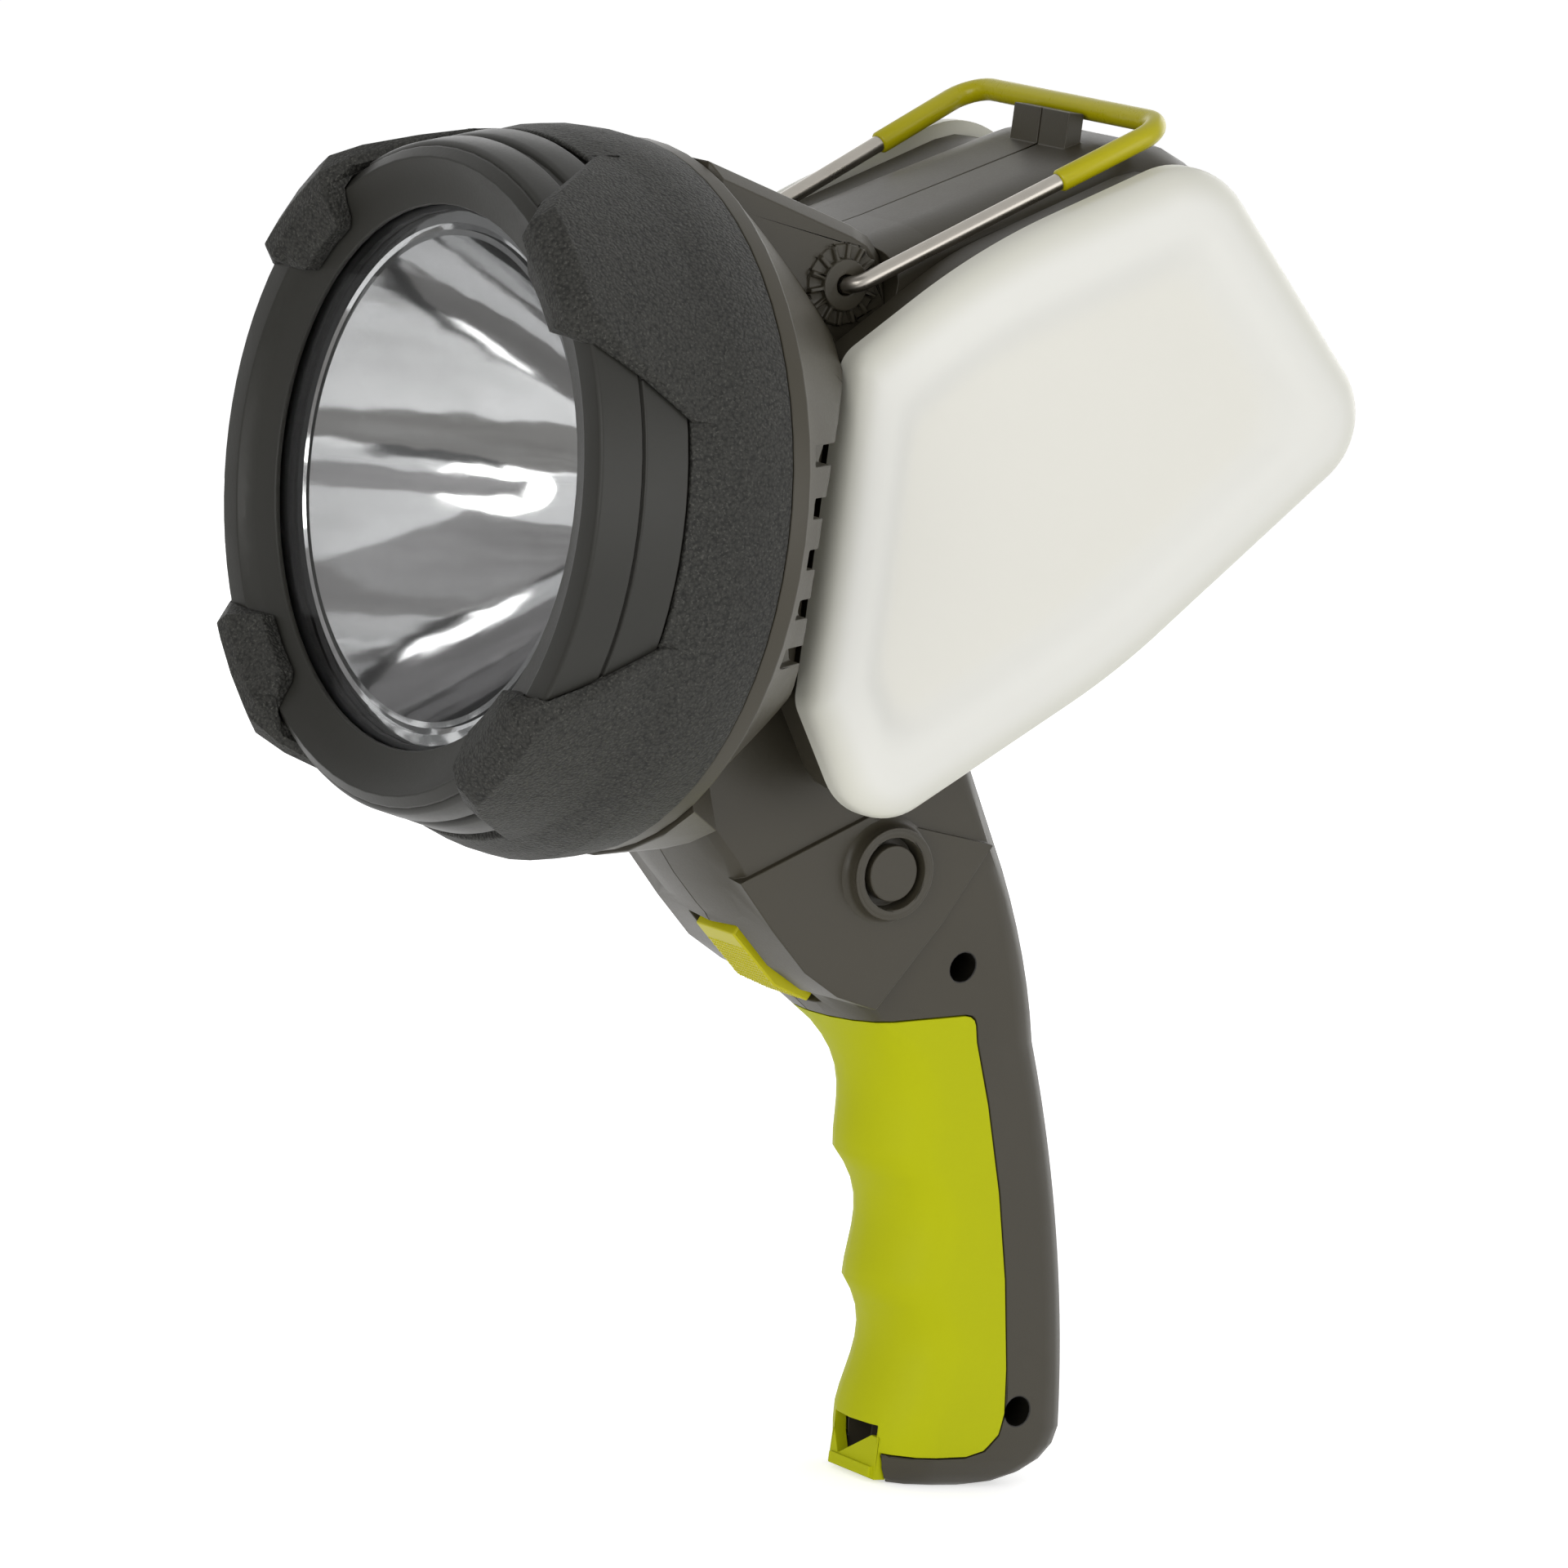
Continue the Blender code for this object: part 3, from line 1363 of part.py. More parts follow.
def button_parts():
    """Raised ring with its groove, and the hole for the button's stem."""
    top = CHEEK_HALF + BUTTON_RING_RISE
    groove = BUTTON_RADIUS + BUTTON_GROOVE
    ring = cylinder(
        "ring", groove + BUTTON_RING,
        (CHEEK_HALF - BODY_WALL, BUTTON_Y, BUTTON_Z), (top, BUTTON_Y, BUTTON_Z),
        steps=SMALL_STEPS * 2,
    )
    well = cylinder(
        "well", groove,
        (CHEEK_HALF - BUTTON_SEAT, BUTTON_Y, BUTTON_Z), (top + OVERRUN, BUTTON_Y, BUTTON_Z),
        steps=SMALL_STEPS * 2,
    )
    hole = cylinder(
        "hole", BUTTON_STEM_RADIUS + FIT_GAP,
        (BOARD_X, BUTTON_Y, BUTTON_Z), (top, BUTTON_Y, BUTTON_Z),
    )
    return ring, well, hole


def screw_spaces(label, place, surface):
    """Counterbore and shank hole in the right half, pilot hole in the left."""
    y, z = place
    head = cylinder(
        f"head_{label}", SCREW_HOLE_RADIUS, (SCREW_SEAT, y, z), (surface + OVERRUN, y, z)
    )
    shank = cylinder(
        f"shank_{label}", SCREW_SHANK_RADIUS + FIT_GAP,
        (SCREW_SEAT - SCREW_LENGTH - FIT_GAP, y, z), (SCREW_SEAT + FIT_GAP, y, z),
    )
    return head, shank


def socket_frame():
    """Middle of the charging socket on the body's rear underside, with run and outward normal."""
    corners = body_corners()
    low, high = Vector(corners[4][:2]), Vector(corners[3][:2])
    run = (high - low).normalized()
    share = (SOCKET_Y - low.x) / (high.x - low.x)
    return low + (high - low) * share, run, Vector((run.y, -run.x))


def socket_point(along, out):
    middle, run, normal = socket_frame()
    return tuple(middle + run * along + normal * out)


def tilted_bar(name, radius, along, start, end, look=None, steps=SMALL_STEPS):
    """Round bar along the socket's normal."""
    one, two = socket_point(along, start), socket_point(along, end)
    return cylinder(name, radius, (0.0, *one), (0.0, *two), look, steps)


def flap_recess():
    outline = [
        socket_point(-FLAP_LENGTH / 2 - FIT_GAP, OVERRUN),
        socket_point(FLAP_LENGTH / 2 + FIT_GAP, OVERRUN),
        socket_point(FLAP_LENGTH / 2 + FIT_GAP, -FLAP_RECESS),
        socket_point(-FLAP_LENGTH / 2 - FIT_GAP, -FLAP_RECESS),
    ]
    return prism("flap_recess", outline, -FLAP_HALF - FIT_GAP, FLAP_HALF + FIT_GAP)


def housing_halves():
    whole = housing_solid()
    cut(whole, flap_recess())
    hollow = cavity("cavity")
    seat = tilted_bar(
        "seat", SOCKET_RADIUS + BODY_WALL / 2, 0.0, -SOCKET_LENGTH * 0.6, -FLAP_RECESS / 2
    )
    cut(hollow, seat)
    cut(whole, hollow)
    way = tilted_bar("way", SOCKET_RADIUS + FIT_GAP, 0.0, -SOCKET_LENGTH * 2, OVERRUN)
    bar_room = slot_space("bar_room", BAR_HALF + FIT_GAP, -OVERRUN, SLOT_BAR + FIT_GAP)
    shaft = slot_space("shaft", SLOT_HALF, SLOT_BAR, SLOT_BAR + SLOT_DEPTH)
    cut(whole, way, *trigger_spaces(), bar_room, shaft)
    ring, well, hole = button_parts()
    join(whole, ring)
    cut(whole, well, hole)
    for label, (place, surface) in screw_places().items():
        cut(whole, *screw_spaces(label, place, surface))
    reach = LIGHT_LENGTH * 2
    made = []
    for side in (1, -1):
        half = copy_of(whole, f"housing_{side_name(side)}")
        low, high = span(FIT_GAP / 2, BODY_HALF * 3, side)
        keep = block("keep", (low, -reach, -reach * 2), (high, reach * 2, reach))
        made.append(smooth(trim(half, keep), 28))
    bpy.data.objects.remove(whole)
    return made


def grip_overmould():
    """Soft grip over the front of both halves, with the bar of the lanyard slot."""
    skin = trim(grip_solid("grip_overmould"), overmould_region("region"))
    skin.data.materials.append(grip_lime())
    window = slot_space("window", SLOT_HALF, -OVERRUN, SLOT_DEPTH)
    cut(skin, grip_solid("core", OVERMOULD_WALL), window)
    return smooth(join(skin, lanyard_bar()), 40)


def light_tray(side):
    """Dark dish behind a diffuser, screwed to the body's flank."""
    start = BODY_HALF + FIT_GAP
    inner_end = start + TRAY_DEPTH
    outline = rounded(light_corners(TRAY_INSET))
    tray = prism(
        f"light_tray_{side_name(side)}", outline, *span(start, inner_end, side), housing_grey()
    )
    hollow = prism(
        "hollow", rounded(light_corners(TRAY_INSET + TRAY_WALL)),
        *span(start + TRAY_FLOOR, inner_end + OVERRUN, side),
    )
    return smooth(cut(tray, hollow))


def diffuser_start():
    return BODY_HALF + FIT_GAP * 2 + TRAY_DEPTH


def area_diffuser(side):
    """Milky cover: a lip, a rounded shoulder and a slightly dished face, hollow from behind."""
    start = diffuser_start()
    top = DIFFUSER_RISE
    rings = [(0.0, 0.0), (0.0, DIFFUSER_LIP)]
    for inset_share, rise_share in DIFFUSER_SHARES[1:]:
        rings.append((inset_share * DIFFUSER_SHOULDER, rise_share * top))
    rings.append((DIFFUSER_SHOULDER + DIFFUSER_DISH_EDGE, top - DIFFUSER_DISH))
    flange = TRAY_INSET + TRAY_WALL + FIT_GAP
    inner = [
        (flange, 0.0), (flange, DIFFUSER_LIP), (flange + DIFFUSER_WALL / 2, top / 2),
        (DIFFUSER_SHOULDER, top - DIFFUSER_WALL - DIFFUSER_DISH / 2),
        (DIFFUSER_SHOULDER + DIFFUSER_DISH_EDGE, top - DIFFUSER_WALL - DIFFUSER_DISH),
    ]
    mesh_data = bmesh.new()
    rows = []
    for inset, rise in [*reversed(rings), *inner]:
        x = sided(start + rise, side)
        row = [mesh_data.verts.new((x, y, z)) for y, z in rounded(light_corners(inset))]
        rows.append(row)
    for one, two in zip(rows, rows[1:]):
        for i in range(len(one)):
            j = (i + 1) % len(one)
            mesh_data.faces.new((one[i], one[j], two[j], two[i]))
    mesh_data.faces.new(rows[0])
    mesh_data.faces.new(rows[-1])
    return smooth(add_mesh(f"area_diffuser_{side_name(side)}", mesh_data, milky()), 50)


def area_board(side):
    """LED board on the tray's floor, with a grid of LEDs on it."""
    start = BODY_HALF + FIT_GAP * 2 + TRAY_FLOOR
    corners = light_corners(PANEL_INSET)
    board = prism(
        f"area_board_{side_name(side)}", rounded(corners, 2),
        *span(start, start + PANEL_BOARD, side), board_white(),
    )
    low, high = span(start + PANEL_BOARD / 2, start + PANEL_BOARD + PANEL_LED_HEIGHT, side)
    leds = []
    middle = (LIGHT_FRONT + LIGHT_LENGTH * 0.47, LIGHT_HEIGHT * 0.5 - LIGHT_BOTTOM)
    for row in (-1, 0, 1):
        for column in (-1, 0, 1):
            y = middle[0] + column * PANEL_LED_PITCH
            z = middle[1] + row * PANEL_LED_PITCH + column * PANEL_LED_PITCH * 0.7
            half = PANEL_LED_SIZE / 2
            leds.append(
                block(f"led_{row}_{column}", (low, y - half, z - half), (high, y + half, z + half))
            )
    return join(board, *leds)


def hook_frame():
    """Direction of the hook's arms in the stored position."""
    angle = math.radians(HOOK_ANGLE)
    return Vector((0.0, math.cos(angle), math.sin(angle)))


def arc_corner(before, corner, after, bend, steps):
    """Points of a bend that replaces a sharp corner of a path."""
    one, two = (before - corner).normalized(), (after - corner).normalized()
    half = one.angle(two) / 2
    reach = bend / math.tan(half)
    middle = corner + (one + two).normalized() * (bend / math.sin(half))
    first, last = corner + one * reach - middle, corner + two * reach - middle
    axis = first.cross(last).normalized()
    sweep = first.angle(last)
    points = []
    for k in range(steps + 1):
        points.append(middle + Matrix.Rotation(sweep * k / steps, 3, axis) @ first)
    return points


def hook_path():
    """Centre line of the wire, from the end in the left ear to the end in the right one."""
    run = hook_frame()
    right = [
        Vector((HOOK_PIN, 0.0, 0.0)),
        Vector((HOOK_PIVOT_HALF, 0.0, 0.0)),
        Vector((HOOK_CORNER_HALF, 0.0, 0.0)) + run * HOOK_LENGTH,
        Vector((0.0, 0.0, 0.0)) + run * HOOK_LENGTH,
    ]
    half = [right[0]]
    half += arc_corner(right[0], right[1], right[2], HOOK_PIN_BEND, 4)
    half += arc_corner(right[1], right[2], right[3], HOOK_CORNER_BEND, 7)
    mirrored = [Vector((-point.x, point.y, point.z)) for point in half]
    return half + list(reversed(mirrored))


def tube_rings(path, radius, sides):
    """Rings of a tube along a path, without twist."""
    rings = []
    normal = Vector((0.0, 0.0, 1.0))
    for i, point in enumerate(path):
        before = path[max(i - 1, 0)]
        after = path[min(i + 1, len(path) - 1)]
        direction = ((after - point).normalized() + (point - before).normalized()).normalized()
        normal = (normal - direction * normal.dot(direction)).normalized()
        across = direction.cross(normal)
        ring = []
        for k in range(sides):
            turn = 2 * math.pi * k / sides
            ring.append(point + (normal * math.cos(turn) + across * math.sin(turn)) * radius)
        rings.append(ring)
    return rings


def hook_wire(pivot):
    rings = tube_rings(hook_path(), WIRE_RADIUS, WIRE_SIDES)
    return smooth(lofted("hook_wire", rings, steel(), pivot), 50)


def hook_sleeve(pivot):
    """Plastic sleeve over the crossbar and the outer part of both arms."""
    path = hook_path()
    run = hook_frame()
    start = HOOK_LENGTH - SLEEVE_ARM
    kept = [point for point in path if point.dot(run) > start]
    share = start / HOOK_LENGTH
    width = HOOK_PIVOT_HALF + (HOOK_CORNER_HALF - HOOK_PIVOT_HALF) * share
    ends = [Vector((x, 0.0, 0.0)) + run * start for x in (width, -width)]
    route = [ends[0]] + kept + [ends[1]]
    inner = tube_rings(route, WIRE_RADIUS + SLEEVE_GAP, WIRE_SIDES)
    outer = tube_rings(route, WIRE_RADIUS + SLEEVE_GAP + SLEEVE_WALL, WIRE_SIDES)
    rings = outer + list(reversed(inner))
    return smooth(lofted("hook_sleeve", rings, sleeve_olive(), pivot, closed=True), 50)


def mode_button():
    """Round cap in its groove, with a stem through the cheek."""
    top = CHEEK_HALF + BUTTON_RING_RISE - BUTTON_SINK
    bottom = CHEEK_HALF - BUTTON_SEAT + BUTTON_TRAVEL + FIT_GAP
    cap = cylinder(
        "mode_button", BUTTON_RADIUS, (bottom, BUTTON_Y, BUTTON_Z), (top, BUTTON_Y, BUTTON_Z),
        housing_grey(), SMALL_STEPS * 2,
    )
    stem_end = tact_top() + BUTTON_TRAVEL + FIT_GAP
    stem = cylinder(
        "stem", BUTTON_STEM_RADIUS,
        (stem_end, BUTTON_Y, BUTTON_Z), (top - BUTTON_COLLAR, BUTTON_Y, BUTTON_Z),
    )
    return smooth(join(cap, stem))


def tact_top():
    return BOARD_X + BOARD_THICKNESS + FIT_GAP + TACT_HEIGHT + TACT_PLUNGER


def control_board():
    """Board beside the seam, behind the button."""
    low = (BOARD_X, BUTTON_Y - BOARD_LENGTH * 0.42, BUTTON_Z - BOARD_HEIGHT / 2)
    high = (BOARD_X + BOARD_THICKNESS, low[1] + BOARD_LENGTH, low[2] + BOARD_HEIGHT)
    return block("control_board", low, high, board_green())


def tact_switch():
    """Push switch on the board, under the button's stem."""
    start = BOARD_X + BOARD_THICKNESS + FIT_GAP
    body = block(
        "tact_switch", (start, BUTTON_Y - TACT_HALF, BUTTON_Z - TACT_HALF),
        (start + TACT_HEIGHT, BUTTON_Y + TACT_HALF, BUTTON_Z + TACT_HALF), switch_black(),
    )
    plunger = cylinder(
        "plunger", TACT_HALF / 2,
        (start + TACT_HEIGHT / 2, BUTTON_Y, BUTTON_Z), (tact_top(), BUTTON_Y, BUTTON_Z),
        steps=SMALL_STEPS // 2,
    )
    return join(body, plunger)


def trigger_switch():
    """Microswitch behind the trigger's lower half, with its plunger."""
    depth = TRIGGER_BODY + TRIGGER_TRAVEL + MICRO_PLUNGER + FIT_GAP
    first, last = 0.45, 1.0
    outline = [
        trigger_point(first, -depth), trigger_point(last, -depth),
        trigger_point(last, -depth - MICRO_HEIGHT), trigger_point(first, -depth - MICRO_HEIGHT),
    ]
    body = prism("trigger_switch", outline, -MICRO_HALF, MICRO_HALF, switch_black())
    start = trigger_point(0.6, -depth - MICRO_HEIGHT / 2)
    end = trigger_point(0.6, -depth + MICRO_PLUNGER)
    plunger = cylinder(
        "plunger", MICRO_PLUNGER, (0.0, *start), (0.0, *end), steps=SMALL_STEPS // 2
    )
    return join(body, plunger)


def battery_cell(side):
    """Round cell with its raised pole at the front."""
    x = sided(CELL_RADIUS + FIT_GAP, side)
    back = CELL_FRONT + CELL_LENGTH
    profile = [
        (CELL_FRONT - CELL_NUB, 0.0), (CELL_FRONT - CELL_NUB, CELL_NUB_RADIUS),
        (CELL_FRONT, CELL_NUB_RADIUS), (CELL_FRONT, CELL_RADIUS - CELL_NUB / 2),
        (CELL_FRONT + CELL_NUB / 2, CELL_RADIUS), (back, CELL_RADIUS), (back, 0.0),
    ]
    return smooth(
        turned(f"battery_cell_{side_name(side)}", profile, cell_blue(), SMALL_STEPS, (x, CELL_Z))
    )


def battery_holder():
    """Open cradle under the two cells, with end walls, held between the housing's walls."""
    half = BODY_HALF - BODY_WALL - FIT_GAP
    front = CELL_FRONT - CELL_NUB - FIT_GAP - HOLDER_WALL
    back = CELL_FRONT + CELL_LENGTH + FIT_GAP + HOLDER_WALL
    bottom = CELL_Z - CELL_RADIUS - FIT_GAP - HOLDER_WALL
    cradle = block("battery_holder", (-half, front, bottom), (half, back, CELL_Z), switch_black())
    room = block(
        "room", (-half - OVERRUN, front + HOLDER_WALL, bottom + HOLDER_WALL),
        (half + OVERRUN, back - HOLDER_WALL, CELL_Z + OVERRUN),
    )
    return cut(cradle, room)


def charge_socket():
    """Round socket in the rear underside, with its centre pin."""
    socket = tilted_bar("charge_socket", SOCKET_RADIUS, 0.0, -SOCKET_LENGTH, -FLAP_RECESS)
    socket.data.materials.append(switch_black())
    bore = tilted_bar("bore", SOCKET_BORE, 0.0, -SOCKET_LENGTH * 0.8, OVERRUN)
    pin = tilted_bar("pin", SOCKET_PIN, 0.0, -SOCKET_LENGTH * 0.9, -FLAP_RECESS * 2, None, 10)
    return smooth(join(cut(socket, bore), pin))


def charge_flap(hinge):
    """Rubber flap in its recess, turning on its rear edge, with a plug that closes the socket."""
    flap_top = FLAP_THICKNESS - FLAP_RECESS + FIT_GAP
    outline = [
        socket_point(-FLAP_LENGTH / 2, flap_top), socket_point(FLAP_LENGTH / 2, flap_top),
        socket_point(FLAP_LENGTH / 2, FIT_GAP - FLAP_RECESS),
        socket_point(-FLAP_LENGTH / 2, FIT_GAP - FLAP_RECESS),
    ]
    flap = prism("charge_flap", outline, -FLAP_HALF, FLAP_HALF, rubber_black())
    bevel_edges(flap, FIT_GAP * 2, lambda middle, run: True)
    place = hinge.location.copy()
    flap.data.transform(Matrix.Translation(-place))
    flap.parent = hinge
    return flap


def housing_screw(label):
    (y, z), _ = screw_places()[label]
    start = SCREW_SEAT + FIT_GAP
    head = cylinder(
        f"housing_screw_{label}", SCREW_HEAD_RADIUS,
        (start, y, z), (start + SCREW_HEAD_HEIGHT, y, z), steel(),
    )
    shank = cylinder(
        "shank", SCREW_SHANK_RADIUS,
        (start - SCREW_LENGTH, y, z), (start + SCREW_HEAD_HEIGHT / 4, y, z),
        steps=SMALL_STEPS,
    )
    floor = start + SCREW_HEAD_HEIGHT / 2
    top = start + SCREW_HEAD_HEIGHT * 2
    slot = block(
        "slot", (floor, y - SCREW_CROSS, z - SCREW_CROSS_WIDTH),
        (top, y + SCREW_CROSS, z + SCREW_CROSS_WIDTH),
    )
    cross = block(
        "cross", (floor + FIT_GAP / 3, y - SCREW_CROSS_WIDTH, z - SCREW_CROSS),
        (top, y + SCREW_CROSS_WIDTH, z + SCREW_CROSS),
    )
    return smooth(cut(join(head, shank), slot, cross))


def build():
    clear_scene()
    frame = add_empty("head_frame", (0.0, -HEAD_REACH, HEAD_RISE))
    hook_pivot = add_empty("hook_pivot", (0.0, PIVOT_Y, PIVOT_Z), frame)
    hinge_y, hinge_z = socket_point(FLAP_LENGTH / 2, 0.0)
    flap_hinge = add_empty("flap_hinge", (0.0, hinge_y, hinge_z), frame)
    button_slide = add_empty("button_slide", (CHEEK_HALF, BUTTON_Y, BUTTON_Z), frame)
    trigger_slide = add_empty("trigger_slide", (0.0, *trigger_point(0.5, 0.0)), frame)
    head_housing()
    bezel_ring()
    rubber_guard()
    lens()
    lens_gasket()
    reflector()
    led_board()
    led_emitter()
    heat_sink()
    housing_halves()
    grip_overmould()
    for side in (1, -1):
        light_tray(side)
        area_diffuser(side)
        area_board(side)
        battery_cell(side)
    battery_holder()
    hook_wire(hook_pivot)
    hook_sleeve(hook_pivot)
    hang_on(mode_button(), button_slide)
    tact_switch()
    control_board()
    hang_on(trigger(), trigger_slide)
    trigger_switch()
    charge_socket()
    charge_flap(flap_hinge)
    for label in screw_places():
        housing_screw(label)


build()
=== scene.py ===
"""Looks of a handheld searchlight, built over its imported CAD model.

Every piece is drawn in the model's own frame, in metres with +Z up, and rides on a CAD body.
The pieces whose edges show are copies of CAD nodes with softened edges. The mirror, the lens,
the side covers and the hook are drawn afresh and finer. The ridges of the front ring, the
button's collar and the trigger's dots are added.
"""

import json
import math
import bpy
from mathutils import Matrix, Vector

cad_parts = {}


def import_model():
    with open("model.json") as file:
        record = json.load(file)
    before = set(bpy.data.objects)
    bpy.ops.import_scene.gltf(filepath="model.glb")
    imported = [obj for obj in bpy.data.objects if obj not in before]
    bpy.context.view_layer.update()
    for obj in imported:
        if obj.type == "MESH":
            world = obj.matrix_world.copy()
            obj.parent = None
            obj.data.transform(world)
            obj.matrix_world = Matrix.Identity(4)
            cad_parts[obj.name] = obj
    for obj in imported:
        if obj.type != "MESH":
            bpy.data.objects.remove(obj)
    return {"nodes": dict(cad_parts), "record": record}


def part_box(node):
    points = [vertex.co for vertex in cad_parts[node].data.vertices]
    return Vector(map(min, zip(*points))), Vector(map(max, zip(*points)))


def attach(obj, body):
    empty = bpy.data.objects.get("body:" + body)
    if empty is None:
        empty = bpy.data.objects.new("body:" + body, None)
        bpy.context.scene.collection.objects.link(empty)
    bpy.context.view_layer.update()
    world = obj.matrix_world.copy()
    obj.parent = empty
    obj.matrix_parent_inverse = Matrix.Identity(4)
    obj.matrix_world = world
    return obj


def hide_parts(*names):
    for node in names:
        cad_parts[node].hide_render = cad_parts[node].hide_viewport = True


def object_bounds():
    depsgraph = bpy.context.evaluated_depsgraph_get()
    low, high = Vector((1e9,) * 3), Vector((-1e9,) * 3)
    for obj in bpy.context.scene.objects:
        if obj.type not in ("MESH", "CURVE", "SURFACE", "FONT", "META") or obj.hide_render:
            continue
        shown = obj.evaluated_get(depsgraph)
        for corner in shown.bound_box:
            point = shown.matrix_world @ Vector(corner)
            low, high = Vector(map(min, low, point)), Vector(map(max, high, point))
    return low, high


bl_info = {
    "name": "Handheld Searchlight",
    "version": (1, 0, 0),
    "blender": (4, 5, 0),
    "location": "View3D > Sidebar > Searchlight",
    "description": "Builds the looks of a handheld searchlight over its CAD frame",
    "category": "Object",
}

import bmesh
import bpy
from bpy.props import FloatProperty, FloatVectorProperty, IntProperty, PointerProperty
from bpy.types import Operator, Panel, PropertyGroup
from mathutils import Matrix, Vector

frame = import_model()
CAD_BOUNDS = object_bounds()

# The centre of the head's rear rim, from which the drawn pieces are measured
HEAD = Vector((0.0, -0.102, 0.138))

# Softened copies: an edge is rounded over the first angle in degrees, and triangles that lie
# within the flat angle are joined. Soft skins and small shells have narrower rounded edges.
EDGE_ANGLE = 34
GRIP_EDGE_ANGLE = 40
EDGE_SEGMENTS = 2
FLAT_ANGLE = 0.6
MERGE = 0.000002
HOUSING_EDGE_SHARE = 0.8
SOFT_EDGE_SHARE = 0.5

# Drawn pieces: an edge is shaded sharp over this angle in degrees
SHADE_ANGLE = 38
MIRROR_SHADE_ANGLE = 30
RIDGE_SHADE_ANGLE = 50
TUBE_SHADE_ANGLE = 50
COVER_SHADE_ANGLE = 55
COLLAR_SHADE_ANGLE = 60

# Camera: right, up and back directions as found from the picture
CAMERA_PLACE = (1.3950367, -1.0620555, 0.2998527)
CAMERA_RIGHT = (0.5674221571, 0.8127140169, 0.1323934379)
CAMERA_UP = (-0.1778643866, -0.0360162885, 0.9833956919)
CAMERA_BACK = (0.8039877833, -0.5815485824, 0.1241164400)
CAMERA_LENS = 211.17
CAMERA_SENSOR = 36.0

# Surroundings: level of the world and glow of the floor, each as lighting and as seen
AMBIENT = 0.50
AMBIENT_SEEN = 1.0
FLOOR_GLOW = 0.12
FLOOR_GLOW_SEEN = 0.56
FLOOR_REACH = 12.0
FLOOR_DROP = 0.0002

# Lamps: place, width, watts and colour. All of them look at one point of the lamp's body.
LAMP_TARGET = (0.0, -0.06, 0.06)
LAMPS = {
    "key": ((1.0, -1.5, 0.30), 1.1, 13.0, (1.0, 0.99, 0.97)),
    "fill": ((1.6, 0.5, 0.2), 1.4, 8.0, (1.0, 1.0, 1.0)),
    "back": ((-0.4, 1.5, 0.7), 1.4, 9.0, (1.0, 1.0, 1.0)),
    "fill_left": ((-1.6, 0.6, 0.3), 1.4, 4.0, (1.0, 1.0, 1.0)),
}

# Cards that the mirror shows: place, point that they face, width, height and tone. Each tone
# runs in streaks between two shares of itself.
CARDS = {
    "card_low": ((0.25, -0.75, -0.02), (0.25, -0.75, 1.0), 1.5, 0.9, (0.30, 0.29, 0.28)),
    "card_high": ((0.10, -0.80, 0.95), HEAD, 1.5, 0.9, (0.34, 0.33, 0.33)),
    "card_left": ((-0.75, -0.85, 0.20), HEAD, 0.55, 0.9, (0.18, 0.18, 0.18)),
    "card_front": ((0.95, -0.95, 0.30), HEAD, 0.9, 0.26, (0.42, 0.41, 0.41)),
    "card_dark": ((0.80, -0.80, 0.02), HEAD, 0.45, 0.10, (0.10, 0.10, 0.10)),
}
CARD_STREAKS = (1.2, 9.0, 1.0)
CARD_DARKEST, CARD_PALEST = 0.60, 1.45

# Turned pieces: steps in one turn
TURN_STEPS = 192

# Mirror and lens
MIRROR_RINGS = 40
MIRROR_MOUTH = 0.0445
MIRROR_HOLE = 0.0085
MIRROR_DEPTH = 0.0420
MIRROR_WALL = 0.0013
MIRROR_LAND = 0.0011
MIRROR_BEAD = 0.0012
LENS_BEVEL = 0.0004

# Side cover: outline corners (Y, Z, radius) in shares of its length and height, and how much
# of an inset each side takes
COVER_LENGTH = 0.1252
COVER_HEIGHT = 0.1343
COVER_FRONT = 0.0238
COVER_BOTTOM = 0.0585
COVER_CORNERS = (
    (0.0, 0.670, 0.05),
    (0.222, 0.833, 1.10),
    (0.601, 1.0, 0.135),
    (1.0, 0.629, 0.105),
    (0.560, 0.257, 1.1),
    (0.133, 0.0, 0.100),
    (0.0, 0.190, 0.05),
)
COVER_SIDE_SHARES = (0.9, 1.0, 1.0, 1.0, 1.0, 0.85, 0.75)
COVER_CORNER_STEPS = 14
COVER_CORNER_REACH = 0.49
COVER_RADIUS_LEAST = 0.3

# Side cover: lip, rounded shoulder and dished panel, from the outline inwards
COVER_LIP = 0.0018
COVER_SHOULDER_STEPS = 14
COVER_SHOULDER_IN = 1.25
COVER_SHOULDER_UP = 0.95
COVER_DISH_STEPS = 6
COVER_SHOULDER = 0.0112
COVER_DISH = 0.0017
COVER_DISH_EDGE = 0.0085
COVER_PANEL = 0.0235
COVER_ROUND = 0.55
COVER_WALL = 0.0020
COVER_FLANGE = 0.0049

# Hook: pivot, bends and the part that the sleeve covers
HOOK_PIVOT = Vector((0.0, -0.0706, 0.1814))
HOOK_PIN = 0.0110
HOOK_PIVOT_HALF = 0.0252
HOOK_CORNER_HALF = 0.0312
HOOK_LENGTH = 0.0722
HOOK_PIN_BEND = 0.0034
HOOK_CORNER_BEND = 0.0060
HOOK_ANGLE = 29.65
WIRE_RADIUS = 0.0016
SLEEVE_RADIUS = 0.00217
SLEEVE_ARM = 0.0255
SLEEVE_LIP = 0.0004
SLEEVE_LIP_SHARE = 0.84
BEND_STEPS = 12
TUBE_SIDES = 28

# Deep screw holes in the right half, (Y, Z) in the model: their radius, the share of it at which
# their painted shade has ended, and that shade's tone as a share of the housing's
SCREW_WELLS = (
    Vector((HEAD.y + 0.0838, HEAD.z - 0.0845)), Vector((HEAD.y + 0.1136, HEAD.z - 0.1717)),
)
WELL_RADIUS = 0.00305
WELL_END = 1.06
WELL_SHADE_TONE = 0.12

